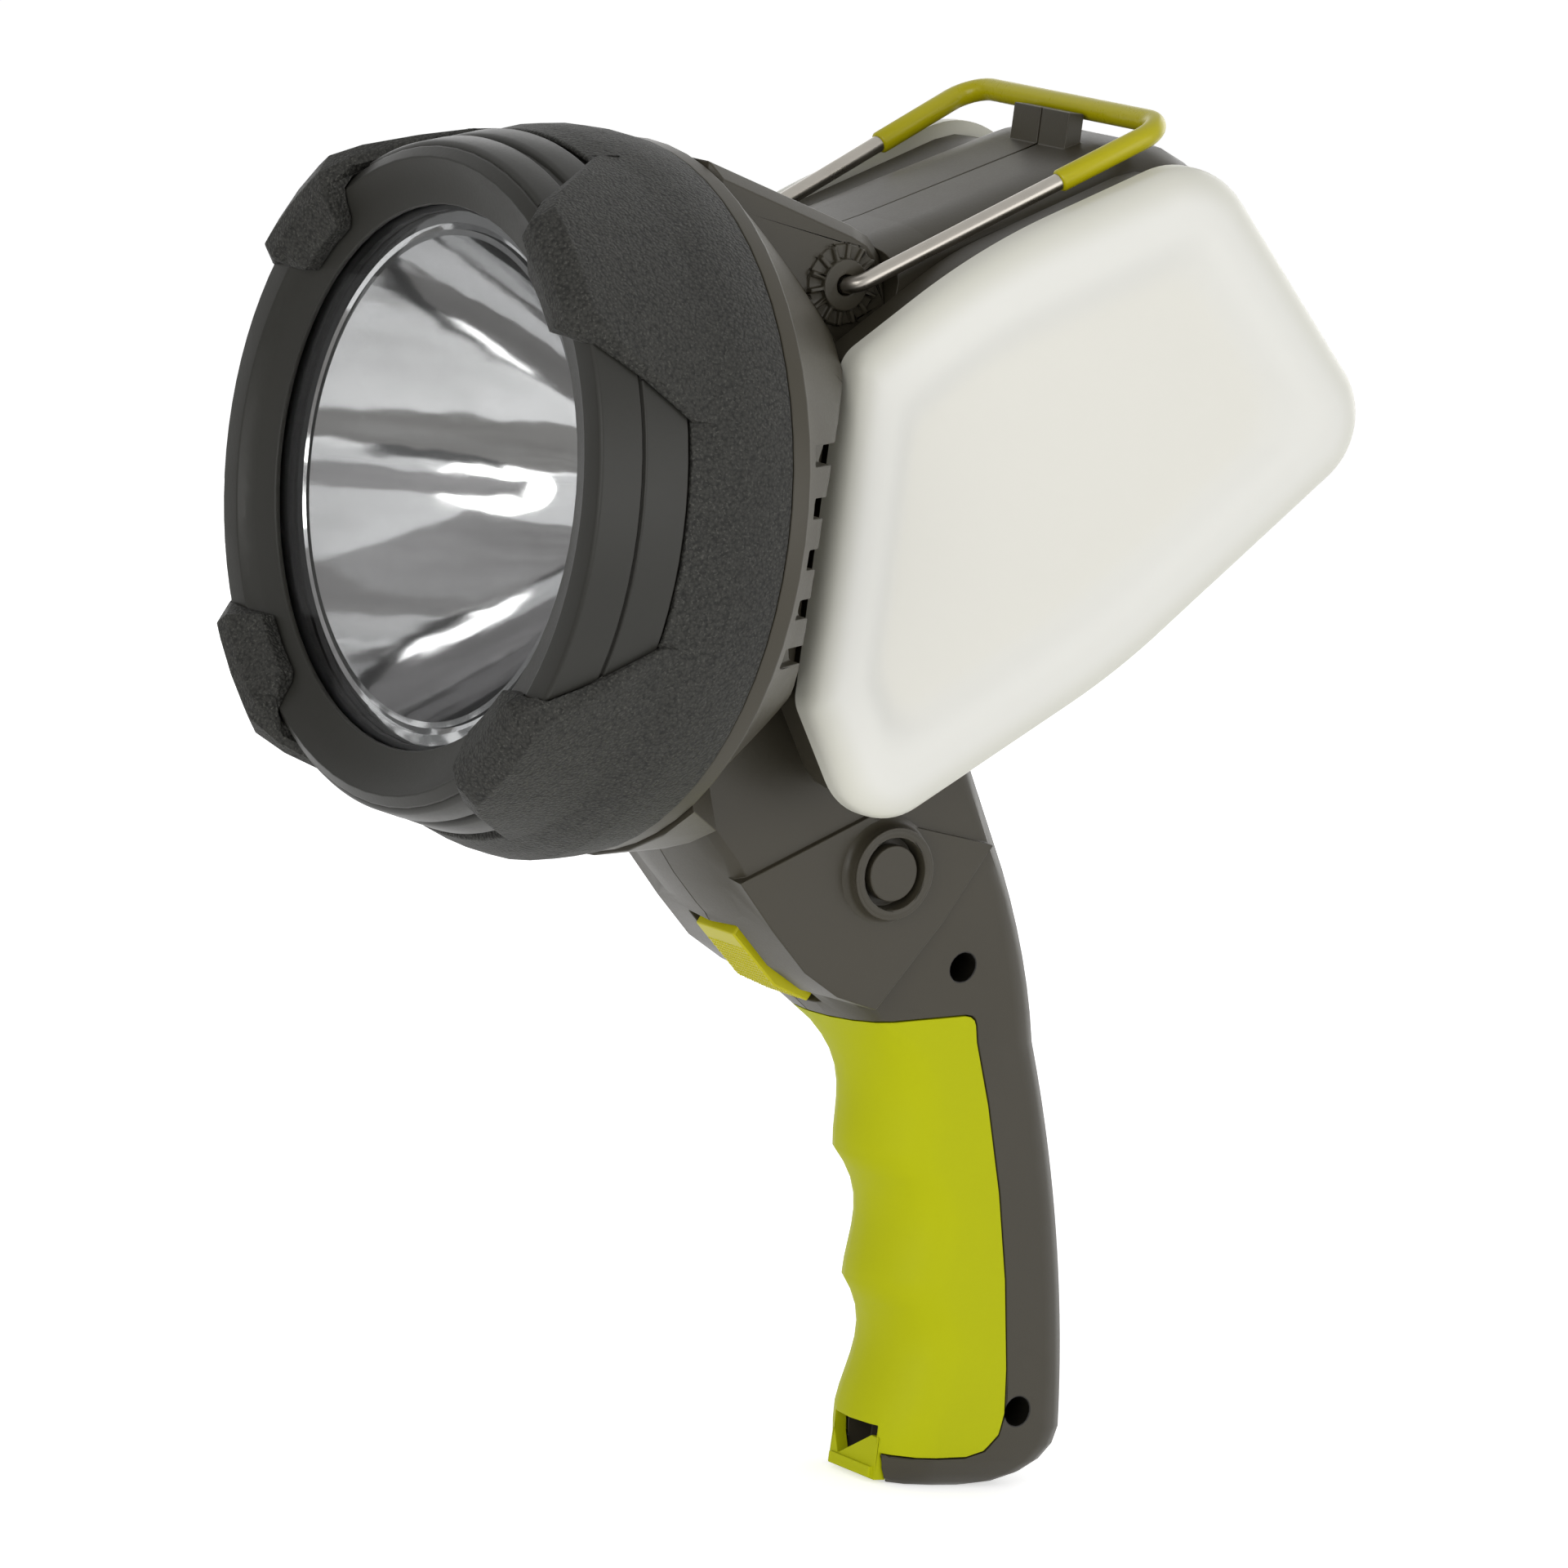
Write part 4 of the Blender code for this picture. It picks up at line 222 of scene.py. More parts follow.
# Button's collar: radii of its groove and its wall, then profiles (X, radius) of its foot,
# its crest and its inner edge, each from its own start
COLLAR_GROOVE = 0.00684
COLLAR_RADIUS = 0.00896
COLLAR_HEIGHT = 0.0033
COLLAR_PROUD = 0.00045
COLLAR_SUNK = 0.0005
COLLAR_FOOT = ((0.0, 0.0016), (0.0004, 0.0009), (0.0009, 0.0004), (0.0016, 0.0001))
COLLAR_CREST = ((-0.0008, 0.0), (-0.0003, -0.0002), (0.0, -0.0007))
COLLAR_INNER = ((0.0, 0.0005), (-0.0002, 0.0001), (-0.0006, 0.0))

# Seam of the two halves: how near its points lie to the middle plane, and the share kept
SEAM_REACH = 0.00025
SEAM_LEFT = 0.15

# Slot of the catch, where the seam stays open: range of Y, lowest Z and how far it is spread
SLOT_BACK, SLOT_FRONT, SLOT_FOOT = -0.0100, -0.0150, 0.2085
SLOT_SPREAD = 1.5

# Ridges of the front ring between the claws: profile (Y from the head, radius), and the arcs
# that it runs over, in degrees
RIDGE_PROFILE = (
    (-0.0424, 0.0596), (-0.0424, 0.0606), (-0.0421, 0.0612), (-0.0415, 0.0616),
    (-0.0369, 0.0627), (-0.0364, 0.0626), (-0.0362, 0.0621), (-0.0361, 0.0609),
    (-0.0343, 0.0612), (-0.0342, 0.0626), (-0.0340, 0.0631), (-0.0334, 0.0635),
    (-0.0290, 0.0646), (-0.0285, 0.0645), (-0.0283, 0.0640), (-0.0282, 0.0631),
    (-0.0264, 0.0634), (-0.0264, 0.0610),
)
RIDGE_ARCS = {"top": (62, 118), "bottom": (242, 298)}
RIDGE_STEPS = 56

# Trigger's face: ends of its line in (Y, Z) from the head, the share of it at which its knee
# stands proud, and the shares of its length and width that the dots cover
TRIGGER_TOP = Vector((0.0375, -0.0813))
TRIGGER_LOW = Vector((0.0568, -0.0936))
TRIGGER_KNEE = 0.63
TRIGGER_PROUD = 0.0024
TRIGGER_FLAT = 0.0003
TRIGGER_HALF = 0.0064
DOTS_START = TRIGGER_KNEE * 0.30
DOTS_END = 0.93
DOTS_WIDTH = 0.88
DOT_SIDES = 12
DOT_RINGS = 6
DOT_SQUASH = (1.0, 1.0, 0.7)


class SearchlightSizes(PropertyGroup):
    edge: FloatProperty(
        name="Edge", description="Width of the softened edges of the housing",
        default=0.00030, min=0.0, subtype="DISTANCE", unit="LENGTH",
    )
    rubber_edge: FloatProperty(
        name="Rubber edge", description="Width of the softened edges of rubber pieces",
        default=0.00032, min=0.0, subtype="DISTANCE", unit="LENGTH",
    )
    grain: FloatProperty(
        name="Grain", description="Size of one grain in the rubber's surface",
        default=0.00062, min=0.0001, subtype="DISTANCE", unit="LENGTH",
    )
    dot: FloatProperty(
        name="Dot", description="Radius of one dot on the trigger",
        default=0.00024, min=0.0001, subtype="DISTANCE", unit="LENGTH",
    )
    dot_rows: IntProperty(
        name="Dot rows", description="Rows of dots down the trigger's lower part",
        default=20, min=2,
    )
    dot_columns: IntProperty(
        name="Dot columns", description="Dots in one row across the trigger",
        default=16, min=2,
    )


class SearchlightColours(PropertyGroup):
    housing: FloatVectorProperty(
        name="Housing", description="Colour of the housing's plastic", subtype="COLOR",
        default=(0.044, 0.0385, 0.026), min=0.0, max=1.0,
    )
    head: FloatVectorProperty(
        name="Head rings", description="Colour of the head's front ring", subtype="COLOR",
        default=(0.026, 0.0255, 0.022), min=0.0, max=1.0,
    )
    rubber: FloatVectorProperty(
        name="Rubber", description="Colour of the rubber guard", subtype="COLOR",
        default=(0.025, 0.0248, 0.022), min=0.0, max=1.0,
    )
    grip: FloatVectorProperty(
        name="Grip", description="Colour of the soft grip", subtype="COLOR",
        default=(0.455, 0.480, 0.002), min=0.0, max=1.0,
    )
    trigger: FloatVectorProperty(
        name="Trigger", description="Colour of the trigger", subtype="COLOR",
        default=(0.520, 0.480, 0.006), min=0.0, max=1.0,
    )
    sleeve: FloatVectorProperty(
        name="Sleeve", description="Colour of the hook's sleeve", subtype="COLOR",
        default=(0.430, 0.385, 0.001), min=0.0, max=1.0,
    )
    cover: FloatVectorProperty(
        name="Covers", description="Colour of the milky side covers", subtype="COLOR",
        default=(0.735, 0.732, 0.690), min=0.0, max=1.0,
    )


def sizes():
    return bpy.context.scene.searchlight_sizes


def colours():
    return bpy.context.scene.searchlight_colours


# ---------------------------------------------------------------- shader building


class Maths:
    """A scalar of a node tree. Arithmetic on it adds Math nodes."""

    def __init__(self, tree, socket):
        self.tree = tree
        self.socket = socket

    def apply(self, operation, *others, turned=False):
        values = [self, *others]
        if turned:
            values.reverse()
        return self.tree.scalar(
            "ShaderNodeMath", {"operation": operation}, dict(enumerate(values))
        )

    def __add__(self, other):
        return self.apply("ADD", other)

    def __radd__(self, other):
        return self.apply("ADD", other, turned=True)

    def __sub__(self, other):
        return self.apply("SUBTRACT", other)

    def __rsub__(self, other):
        return self.apply("SUBTRACT", other, turned=True)

    def __mul__(self, other):
        return self.apply("MULTIPLY", other)

    def __rmul__(self, other):
        return self.apply("MULTIPLY", other, turned=True)

    def __truediv__(self, other):
        return self.apply("DIVIDE", other)

    def __rtruediv__(self, other):
        return self.apply("DIVIDE", other, turned=True)

    def highest(self, other):
        return self.apply("MAXIMUM", other)

    def sine(self):
        return self.apply("SINE")

    def step(self, start, end):
        """0 below start and 1 above end, smooth between them."""
        return self.tree.scalar(
            "ShaderNodeMapRange", {"interpolation_type": "SMOOTHSTEP"},
            {0: self, 1: start, 2: end, 3: 0.0, 4: 1.0},
        )


class Tree:
    """A node tree that one method fills."""

    def __init__(self, tree):
        self.tree = tree

    def node(self, kind, settings, inputs):
        """A new node: its settings first, then the values or links of its sockets."""
        made = self.tree.nodes.new(kind)
        for name, value in settings.items():
            setattr(made, name, value)
        for key, value in inputs.items():
            self.feed(made.inputs[key], value)
        return made

    def scalar(self, kind, settings, inputs, output=0):
        return Maths(self, self.node(kind, settings, inputs).outputs[output])

    def feed(self, socket, value):
        if isinstance(value, Maths):
            value = value.socket
        if isinstance(value, bpy.types.NodeSocket):
            self.tree.links.new(value, socket)
        else:
            socket.default_value = value

    def where_seen(self, unseen, seen):
        """One level for camera, glossy and transmission rays, another for rays that light."""
        path = self.node("ShaderNodeLightPath", {}, {}).outputs
        direct = Maths(self, path["Is Camera Ray"])
        for other in ("Is Glossy Ray", "Is Transmission Ray"):
            direct = direct.highest(Maths(self, path[other]))
        return self.scalar("ShaderNodeMapRange", {}, {0: direct, 3: unseen, 4: seen})


class Look(Tree):
    """One material and the nodes that feed its shader."""

    def __init__(self, name, **constants):
        self.material = bpy.data.materials.new(name)
        self.material.use_nodes = True
        super().__init__(self.material.node_tree)
        self.shader = self.tree.nodes["Principled BSDF"]
        self.place = self.node("ShaderNodeTexCoord", {}, {}).outputs["Object"]
        for socket, value in constants.items():
            self.shader.inputs[socket.replace("_", " ")].default_value = value

    def set(self, name, value):
        self.feed(self.shader.inputs[name], value)

    def axis(self, index):
        return self.scalar("ShaderNodeSeparateXYZ", {}, {0: self.place}, index)

    def scaled(self, factors):
        """The place with each axis scaled by its own factor."""
        return self.node(
            "ShaderNodeVectorMath", {"operation": "MULTIPLY"}, {0: self.place, 1: factors}
        ).outputs[0]

    def away(self, axes, offset):
        """Distance from a point or a line, along the axes whose factor is 1."""
        arm = self.node(
            "ShaderNodeVectorMath", {"operation": "MULTIPLY_ADD"},
            {0: self.place, 1: axes, 2: offset},
        )
        return self.scalar(
            "ShaderNodeVectorMath", {"operation": "LENGTH"}, {0: arm.outputs[0]}, "Value"
        )

    def noise(self, size, detail=2.0, rough=0.5, source=None):
        """Noise about 0.5, with features of this size in metres."""
        return self.scalar("ShaderNodeTexNoise", {}, {
            "Vector": source or self.place, "Scale": 1.0 / size, "Detail": detail,
            "Roughness": rough,
        })

    def cells(self, size):
        """Rounded cells of this size in metres, 0 at their middles."""
        return self.scalar("ShaderNodeTexVoronoi", {"feature": "SMOOTH_F1"}, {
            "Vector": self.place, "Scale": 1.0 / size, "Smoothness": 0.6,
        })

    def stored(self, name):
        return self.scalar("ShaderNodeAttribute", {"attribute_name": name}, {}, "Fac")

    def mixed(self, factor, one, two):
        """Colour between one and two. Each is a colour or a socket."""
        one, two = (opaque(end) if isinstance(end, tuple) else end for end in (one, two))
        return self.node(
            "ShaderNodeMix", {"data_type": "RGBA"}, {0: factor, 6: one, 7: two}
        ).outputs[2]

    def bump(self, height, strength, distance):
        return self.node("ShaderNodeBump", {}, {
            "Strength": strength, "Distance": distance, "Height": height,
        }).outputs[0]


def opaque(colour):
    return (*colour, 1.0)


def toned(colour, share):
    return tuple(min(channel * share, 1.0) for channel in colour)


def tinted(colour, shares):
    return tuple(channel * share for channel, share in zip(colour, shares))


def moulded(
    name, colour, roughness, grain=0.0006, depth=0.00004, spread=0.08, wells=(), **constants
):
    """Moulded plastic: cloudy tone, spark-eroded grain and slightly uneven gloss.

    Wells are deep holes in the right side, at (Y, Z). Their walls get a painted shade, a darker
    tone of the housing's colour.
    """
    colour = tuple(colour)
    look = Look(name, **constants)
    cloud = look.noise(0.021, 3.0)
    fine = look.noise(grain, 2.0, 0.6)
    tone = (cloud - 0.5) * 0.9 + (fine - 0.5) * 0.5 + 0.5
    base = look.mixed(tone, toned(colour, 1 - spread), toned(colour, 1 + spread))
    # Painted shade: the walls of each deep well are darkened in the colour
    for well in wells:
        away = look.away((0.0, 1.0, 1.0), (0.0, -well.x, -well.y))
        outside = away.step(WELL_RADIUS, WELL_RADIUS * WELL_END)
        inside = (1.0 - outside) * look.axis(0).step(-0.0001, 0.0001)
        base = look.mixed(inside, base, toned(colour, WELL_SHADE_TONE))
    look.set("Base Color", base)
    look.set("Roughness", roughness + (cloud - 0.5) * 0.16 + (fine - 0.5) * 0.10)
    look.set("Normal", look.bump(fine, 0.5, depth))
    return look


def rubber(name, colour, grain):
    """Rubber with a leathery grain: rounded cells of uneven size, with painted shade in their
    hollows and paler tops.
    """
    colour = tuple(colour)
    look = Look(name, Specular_IOR_Level=0.24)
    warp = look.noise(grain * 3.0, 1.0)
    cell = look.cells(grain)
    fine = look.noise(grain * 0.55, 2.0, 0.65)
    height = (0.9 - cell) * 0.8 + fine * 0.6 + warp * 0.1
    speck = look.noise(grain * 0.8, 1.0).step(0.60, 0.70)
    cloud = look.noise(0.030, 2.0)
    # Painted shade and light: the tone follows the grain's height, darker in the hollows and
    # paler on the tops
    tone = (height - 0.60) * 2.2 + (cloud - 0.5) * 0.5 + 0.4
    shaded_leather = look.mixed(tone, toned(colour, 0.50), toned(colour, 1.50))
    look.set("Base Color", look.mixed(speck * 0.6, shaded_leather, toned(colour, 3.2)))
    look.set("Roughness", 0.60 + (cloud - 0.5) * 0.16 + (fine - 0.5) * 0.16)
    look.set("Normal", look.bump(height, 1.0, 0.00030))
    return look


def brushed(name, colour, roughness, along, size=0.0004):
    """Drawn metal: fine lines along the axes that have a small factor."""
    look = Look(name, Metallic=1.0)
    lines = look.noise(size, 2.0, 0.6, look.scaled(along))
    cloud = look.noise(0.008, 2.0)
    look.set("Base Color", look.mixed(lines, toned(colour, 0.86), toned(colour, 1.10)))
    look.set("Roughness", roughness + (lines - 0.5) * 0.16 + (cloud - 0.5) * 0.10)
    look.set("Normal", look.bump(lines, 0.10, 0.00002))
    return look


def mirror(name):
    """Vacuum-coated cup: bright, with faint waves round the axis and a trace of dust."""
    look = Look(name, Metallic=1.0)
    waves = look.noise(0.012, 2.0, 0.5, look.scaled((1.0, 0.35, 1.0)))
    dust = look.noise(0.0011, 2.0, 0.7)
    look.set("Base Color", look.mixed(waves, (0.545, 0.545, 0.545), (0.75, 0.75, 0.76)))
    look.set("Roughness", 0.085 + dust.step(0.60, 0.85) * 0.10)
    look.set("Normal", look.bump(waves, 0.20, 0.0012))
    return look


def clear(name):
    """Clear polycarbonate with a few faint wipe marks."""
    look = Look(name, Transmission_Weight=1.0, IOR=1.49)
    wipe = look.noise(0.009, 3.0, 0.6, look.scaled((1.0, 1.0, 0.4)))
    tone = look.mixed(wipe, (0.975, 0.985, 0.985), (0.995, 1.0, 1.0))
    look.set("Base Color", tone)
    look.set("Roughness", 0.004 + wipe.step(0.55, 0.9) * 0.02)
    return look


def milky(name, colour):
    """Milky polypropylene. A warmer, barely darker panel shows through inside its shoulder, with
    painted shade along the dish's edge.
    """
    colour = tuple(colour)
    look = Look(name)
    inset = look.stored("inset")
    cloud = look.noise(0.028, 2.0)
    fine = look.noise(0.0009, 2.0)
    inner = (inset + (cloud - 0.5) * 0.0020).step(0.0130, 0.0205)
    # Painted shade: a darker band along the dish's edge
    groove = inset.step(0.0105, 0.0155) * (1.0 - inset.step(0.0155, 0.0215))
    warm = look.mixed(inner, toned(colour, 1.04), tinted(colour, (1.00, 0.985, 0.945)))
    shade = look.mixed(groove * 0.55, warm, toned(colour, 0.93))
    rim = look.mixed(
        inset.step(0.0005, 0.0075), tinted(colour, (0.86, 0.855, 0.78)), shade
    )
    tone = look.mixed((cloud - 0.5) * 0.8 + 0.5, toned(colour, 0.96), toned(colour, 1.03))
    look.set("Base Color", look.mixed(0.30, rim, tone))
    look.set("Roughness", 0.42 + (fine - 0.5) * 0.12)
    look.set("Normal", look.bump(fine, 0.12, 0.00004))
    return look


def painted_lines(name, base, line, pitch, axis, share=0.2, roughness=0.45):
    """A board or winding: lines of another tone across one axis."""
    look = Look(name)
    wave = (look.axis(axis) / pitch * (2 * math.pi)).sine()
    marks = wave.step(1.0 - share * 2, 1.0 - share)
    cloud = look.noise(0.004, 2.0)
    tone = look.mixed(cloud, toned(base, 0.86), toned(base, 1.12))
    look.set("Base Color", look.mixed(marks, tone, line))
    look.set("Roughness", roughness + (cloud - 0.5) * 0.2)
    return look


def phosphor(name):
    """Yellow phosphor under the emitter's dome, with its darker chip edges."""
    look = Look(name, Coat_Weight=0.8)
    ring = look.away((1.0, 0.0, 1.0), (0.0, 0.0, -HEAD.z)).step(0.0017, 0.0030)
    spots = look.noise(0.0007, 2.0)
    yolk = look.mixed(spots, (0.80, 0.56, 0.05), (0.92, 0.72, 0.12))
    look.set("Base Color", look.mixed(ring, yolk, (0.62, 0.62, 0.58)))
    look.set("Roughness", 0.30 + (spots - 0.5) * 0.2)
    return look


LOOKS = {}


def make_looks():
    """Every finish, under the name of its material slot in the record."""
    tone = colours()
    LOOKS.update({
        "housing_grey": moulded(
            "housing_plastic", tone.housing, 0.40, 0.0005, 0.00003, 0.07, wells=SCREW_WELLS,
            Specular_IOR_Level=0.34,
        ),
        "head_grey": moulded(
            "head_plastic", tone.head, 0.42, 0.0007, 0.00003, 0.08, Specular_IOR_Level=0.28
        ),
        "rubber_black": rubber("guard_rubber", tone.rubber, sizes().grain),
        "gasket_black": moulded("gasket_rubber", (0.012, 0.012, 0.012), 0.6, 0.0005),
        "clear_lens": clear("lens_clear"),
        "chrome": mirror("mirror_coat"),
        "board_white": painted_lines(
            "board_solder_mask", (0.70, 0.70, 0.68), (0.50, 0.49, 0.44), 0.0034, 0
        ),
        "emitter_yellow": phosphor("emitter_phosphor"),
        "aluminium": brushed("sink_aluminium", (0.60, 0.61, 0.62), 0.36, (1.0, 1.0, 0.1)),
        "grip_lime": moulded(
            "grip_soft_plastic", tone.grip, 0.58, 0.0006, 0.00003, 0.035,
            Specular_IOR_Level=0.14,
        ),
        "milky_diffuser": milky("cover_milky", tone.cover),
        "cell_blue": painted_lines(
            "cell_wrap", (0.030, 0.130, 0.350), (0.020, 0.070, 0.200), 0.0300, 1, 0.25, 0.35
        ),
        "switch_black": moulded("switch_plastic", (0.016, 0.016, 0.016), 0.42, 0.0004),
        "steel": brushed("wire_steel", (0.40, 0.375, 0.335), 0.30, (1.0, 0.3, 0.3), 0.0016),
        "sleeve_olive": moulded(
            "sleeve_vinyl", tone.sleeve, 0.30, 0.0012, 0.00003, 0.05,
            Specular_IOR_Level=0.35,
        ),
        "board_green": painted_lines(
            "board_circuit", (0.020, 0.110, 0.050), (0.040, 0.190, 0.080), 0.0021, 1
        ),
        "trigger_yellow": moulded(
            "trigger_plastic", tone.trigger, 0.42, 0.0005, 0.00003, 0.04,
            Specular_IOR_Level=0.25,
        ),
        # The screws' steel is drawn dark as painted shade of the deep holes that they sit in
        "screw_steel": brushed("screw_black_zinc", (0.045, 0.043, 0.040), 0.36, (0.2, 1.0, 1.0)),
    })


def look(slot):
    """The material of a slot. All of them are made when the first one is asked for."""
    if not LOOKS:
        make_looks()
    return LOOKS[slot].material


# ---------------------------------------------------------------- mesh building


def wear(obj, slot):
    """Gives the object one finish, the one of this material slot."""
    obj.data.materials.clear()
    obj.data.materials.append(look(slot))
    return obj


def linked(name, mesh):
    obj = bpy.data.objects.new(name, mesh)
    bpy.context.scene.collection.objects.link(obj)
    return obj


def settled(obj):
    """The object with its modifiers applied to a plain mesh of its own."""
    bpy.context.view_layer.update()
    graph = bpy.context.evaluated_depsgraph_get()
    mesh = bpy.data.meshes.new_from_object(obj.evaluated_get(graph), depsgraph=graph)
    obj.modifiers.clear()
    obj.data = mesh
    mesh.name = obj.name
    return obj


def placed(name, mesh_data, slot, body, stands_for, degrees=SHADE_ANGLE):
    """A finished piece from a bmesh, riding on its body in place of CAD nodes."""
    bmesh.ops.recalc_face_normals(mesh_data, faces=mesh_data.faces)
    mesh = bpy.data.meshes.new(name)
    mesh_data.to_mesh(mesh)
    mesh_data.free()
    obj = linked(name, mesh)
    mesh.shade_smooth()
    mesh.set_sharp_from_angle(angle=math.radians(degrees))
    return joined_frame(wear(obj, slot), body, stands_for)


def joined_frame(obj, body, stands_for):
    """Puts a finished piece on its body, in place of CAD nodes if it stands for any."""
    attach(obj, body)
    if stands_for:
        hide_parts(*stands_for)
    return obj


def body_of(node):
    for body, members in frame["record"]["behaviour"]["bodies"].items():
        if node in members:
            return body
    raise RuntimeError(f"{node} is on no body")


def softened(node, name, slot, width, degrees=EDGE_ANGLE, seam=0.0):
    """A copy of a CAD node with its sharp edges rounded, in place of the node.

    Points that lie nearer to the middle plane than the seam are drawn up to it, so that no
    light shows through between the halves. Those of the catch's slot are spread instead.
    """
    mesh = bpy.data.meshes.new(name)
    mesh_data = bmesh.new()
    mesh_data.from_mesh(frame["nodes"][node].data)
    bmesh.ops.remove_doubles(mesh_data, verts=mesh_data.verts, dist=MERGE)
    bmesh.ops.join_triangles(
        mesh_data, faces=mesh_data.faces, angle_face_threshold=math.radians(FLAT_ANGLE),
        angle_shape_threshold=math.pi,
    )
    for face in mesh_data.faces:
        face.smooth = True
    for vertex in mesh_data.verts:
        if abs(vertex.co.x) < seam:
            slot_here = SLOT_FRONT < vertex.co.y < SLOT_BACK and vertex.co.z > SLOT_FOOT
            vertex.co.x *= SLOT_SPREAD if slot_here else SEAM_LEFT
    mesh_data.to_mesh(mesh)
    mesh_data.free()
    obj = linked(name, mesh)
    bevel = obj.modifiers.new("soften", "BEVEL")
    bevel.width = width
    bevel.segments = EDGE_SEGMENTS
    bevel.limit_method = "ANGLE"
    bevel.angle_limit = math.radians(degrees)
    bevel.use_clamp_overlap = False
    bevel.miter_outer = "MITER_ARC"
    weight = obj.modifiers.new("normals", "WEIGHTED_NORMAL")
    weight.keep_sharp = True
    return joined_frame(wear(settled(obj), slot), body_of(node), [node])


def bridged(mesh_data, rows):
    """Faces between each closed row of points and the next. A row of one point is a pole."""
    for one, two in zip(rows, rows[1:]):
        count = max(len(one), len(two))
        for i in range(count):
            j = (i + 1) % count
            if len(one) == 1:
                mesh_data.faces.new((one[0], two[i], two[j]))
            elif len(two) == 1:
                mesh_data.faces.new((one[i], one[j], two[0]))
            else:
                mesh_data.faces.new((one[i], one[j], two[j], two[i]))


def turned_piece(
    name, profile, slot, stands_for, centre=(HEAD.x, HEAD.z), axis=1, closed=True,
    degrees=SHADE_ANGLE,
):
    """A piece of the lamp turned from (place along the axis, radius) points.

    The axis is Y (1) or X (0). The centre gives the other two coordinates in their order.
    """
    mesh_data = bmesh.new()
    rows = []
    for along, radius in profile:
        row = []
        for i in range(TURN_STEPS if radius else 1):
            turn = 2 * math.pi * i / TURN_STEPS
            point = [centre[0] + radius * math.cos(turn), centre[1] + radius * math.sin(turn)]
            point.insert(axis, along)
            row.append(mesh_data.verts.new(point))
        rows.append(row)
    bridged(mesh_data, [*rows, rows[0]] if closed else rows)
    return placed(name, mesh_data, slot, "lamp", stands_for, degrees)


def ridge_piece(name, first, last):
    """The ridges of the front ring over one arc of angles about the head's axis."""
    mesh_data = bmesh.new()
    rows = []
    for i in range(RIDGE_STEPS + 1):
        turn = math.radians(first + (last - first) * i / RIDGE_STEPS)
        rows.append([
            mesh_data.verts.new((
                radius * math.cos(turn), HEAD.y + along, HEAD.z + radius * math.sin(turn)
            ))
            for along, radius in RIDGE_PROFILE
        ])
    bridged(mesh_data, rows)
    for row in (rows[0], rows[-1]):
        mesh_data.faces.new(row)
    placed(name, mesh_data, "head_grey", "lamp", [], RIDGE_SHADE_ANGLE)


def collar_piece():
    """The raised ring round the button, with a soft foot and a rounded crest."""
    low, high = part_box("mode_button")
    top = high.x + COLLAR_PROUD
    foot = top - COLLAR_HEIGHT
    profile = [
        (start + out, base + wider)
        for start, base, part in (
            (foot, COLLAR_RADIUS, COLLAR_FOOT), (top, COLLAR_RADIUS, COLLAR_CREST),
            (top, COLLAR_GROOVE, COLLAR_INNER), (foot, COLLAR_GROOVE, ((-COLLAR_SUNK, 0.0),)),
        )
        for out, wider in part
    ]
    turned_piece(
        "button_collar", profile, "housing_grey", [],
        centre=((low.y + high.y) / 2, (low.z + high.z) / 2), axis=0,
        degrees=COLLAR_SHADE_ANGLE,
    )


def rounded(corners):
    """An outline whose corners (Y, Z, radius) are replaced by arcs."""
    outline = []
    for i, (y, z, radius) in enumerate(corners):
        corner = Vector((y, z))
        before = Vector(corners[i - 1][:2]) - corner
        after = Vector(corners[(i + 1) % len(corners)][:2]) - corner
        half = before.angle(after) / 2
        most = min(before.length, after.length) * COVER_CORNER_REACH
        reach = min(radius / math.tan(half), most)
        radius = reach * math.tan(half)
        middle = corner + (before.normalized() + after.normalized()).normalized() * (
            radius / math.sin(half)
        )
        first = corner + before.normalized() * reach - middle
        last = corner + after.normalized() * reach - middle
        sweep = first.angle_signed(last)
        for k in range(COVER_CORNER_STEPS + 1):
            arm = first.copy()
            arm.rotate(Matrix.Rotation(-sweep * k / COVER_CORNER_STEPS, 2))
            outline.append(tuple(middle + arm))
    return outline


def cover_outline(inset):
    """The side cover's outline in the model's (Y, Z), moved inwards by the inset."""
    corners = []
    for along, up, radius in COVER_CORNERS:
        corners.append((
            HEAD.y + COVER_FRONT + along * COVER_LENGTH,
            HEAD.z - COVER_BOTTOM + up * COVER_HEIGHT, radius * COVER_HEIGHT,
        ))
    moved = []
    for i, (y, z, radius) in enumerate(corners):
        corner = Vector((y, z))
        before = (corner - Vector(corners[i - 1][:2])).normalized()
        after = (Vector(corners[(i + 1) % len(corners)][:2]) - corner).normalized()
        reach_in = inset * COVER_SIDE_SHARES[i - 1]
        reach_out = inset * COVER_SIDE_SHARES[i]
        turn = before.cross(after)
        corner = corner + (before * reach_out - after * reach_in) / turn
        moved.append((corner.x, corner.y, max(
            radius - inset, radius * COVER_RADIUS_LEAST, inset * COVER_ROUND
        )))
    return rounded(moved)


# ---------------------------------------------------------------- geometry nodes


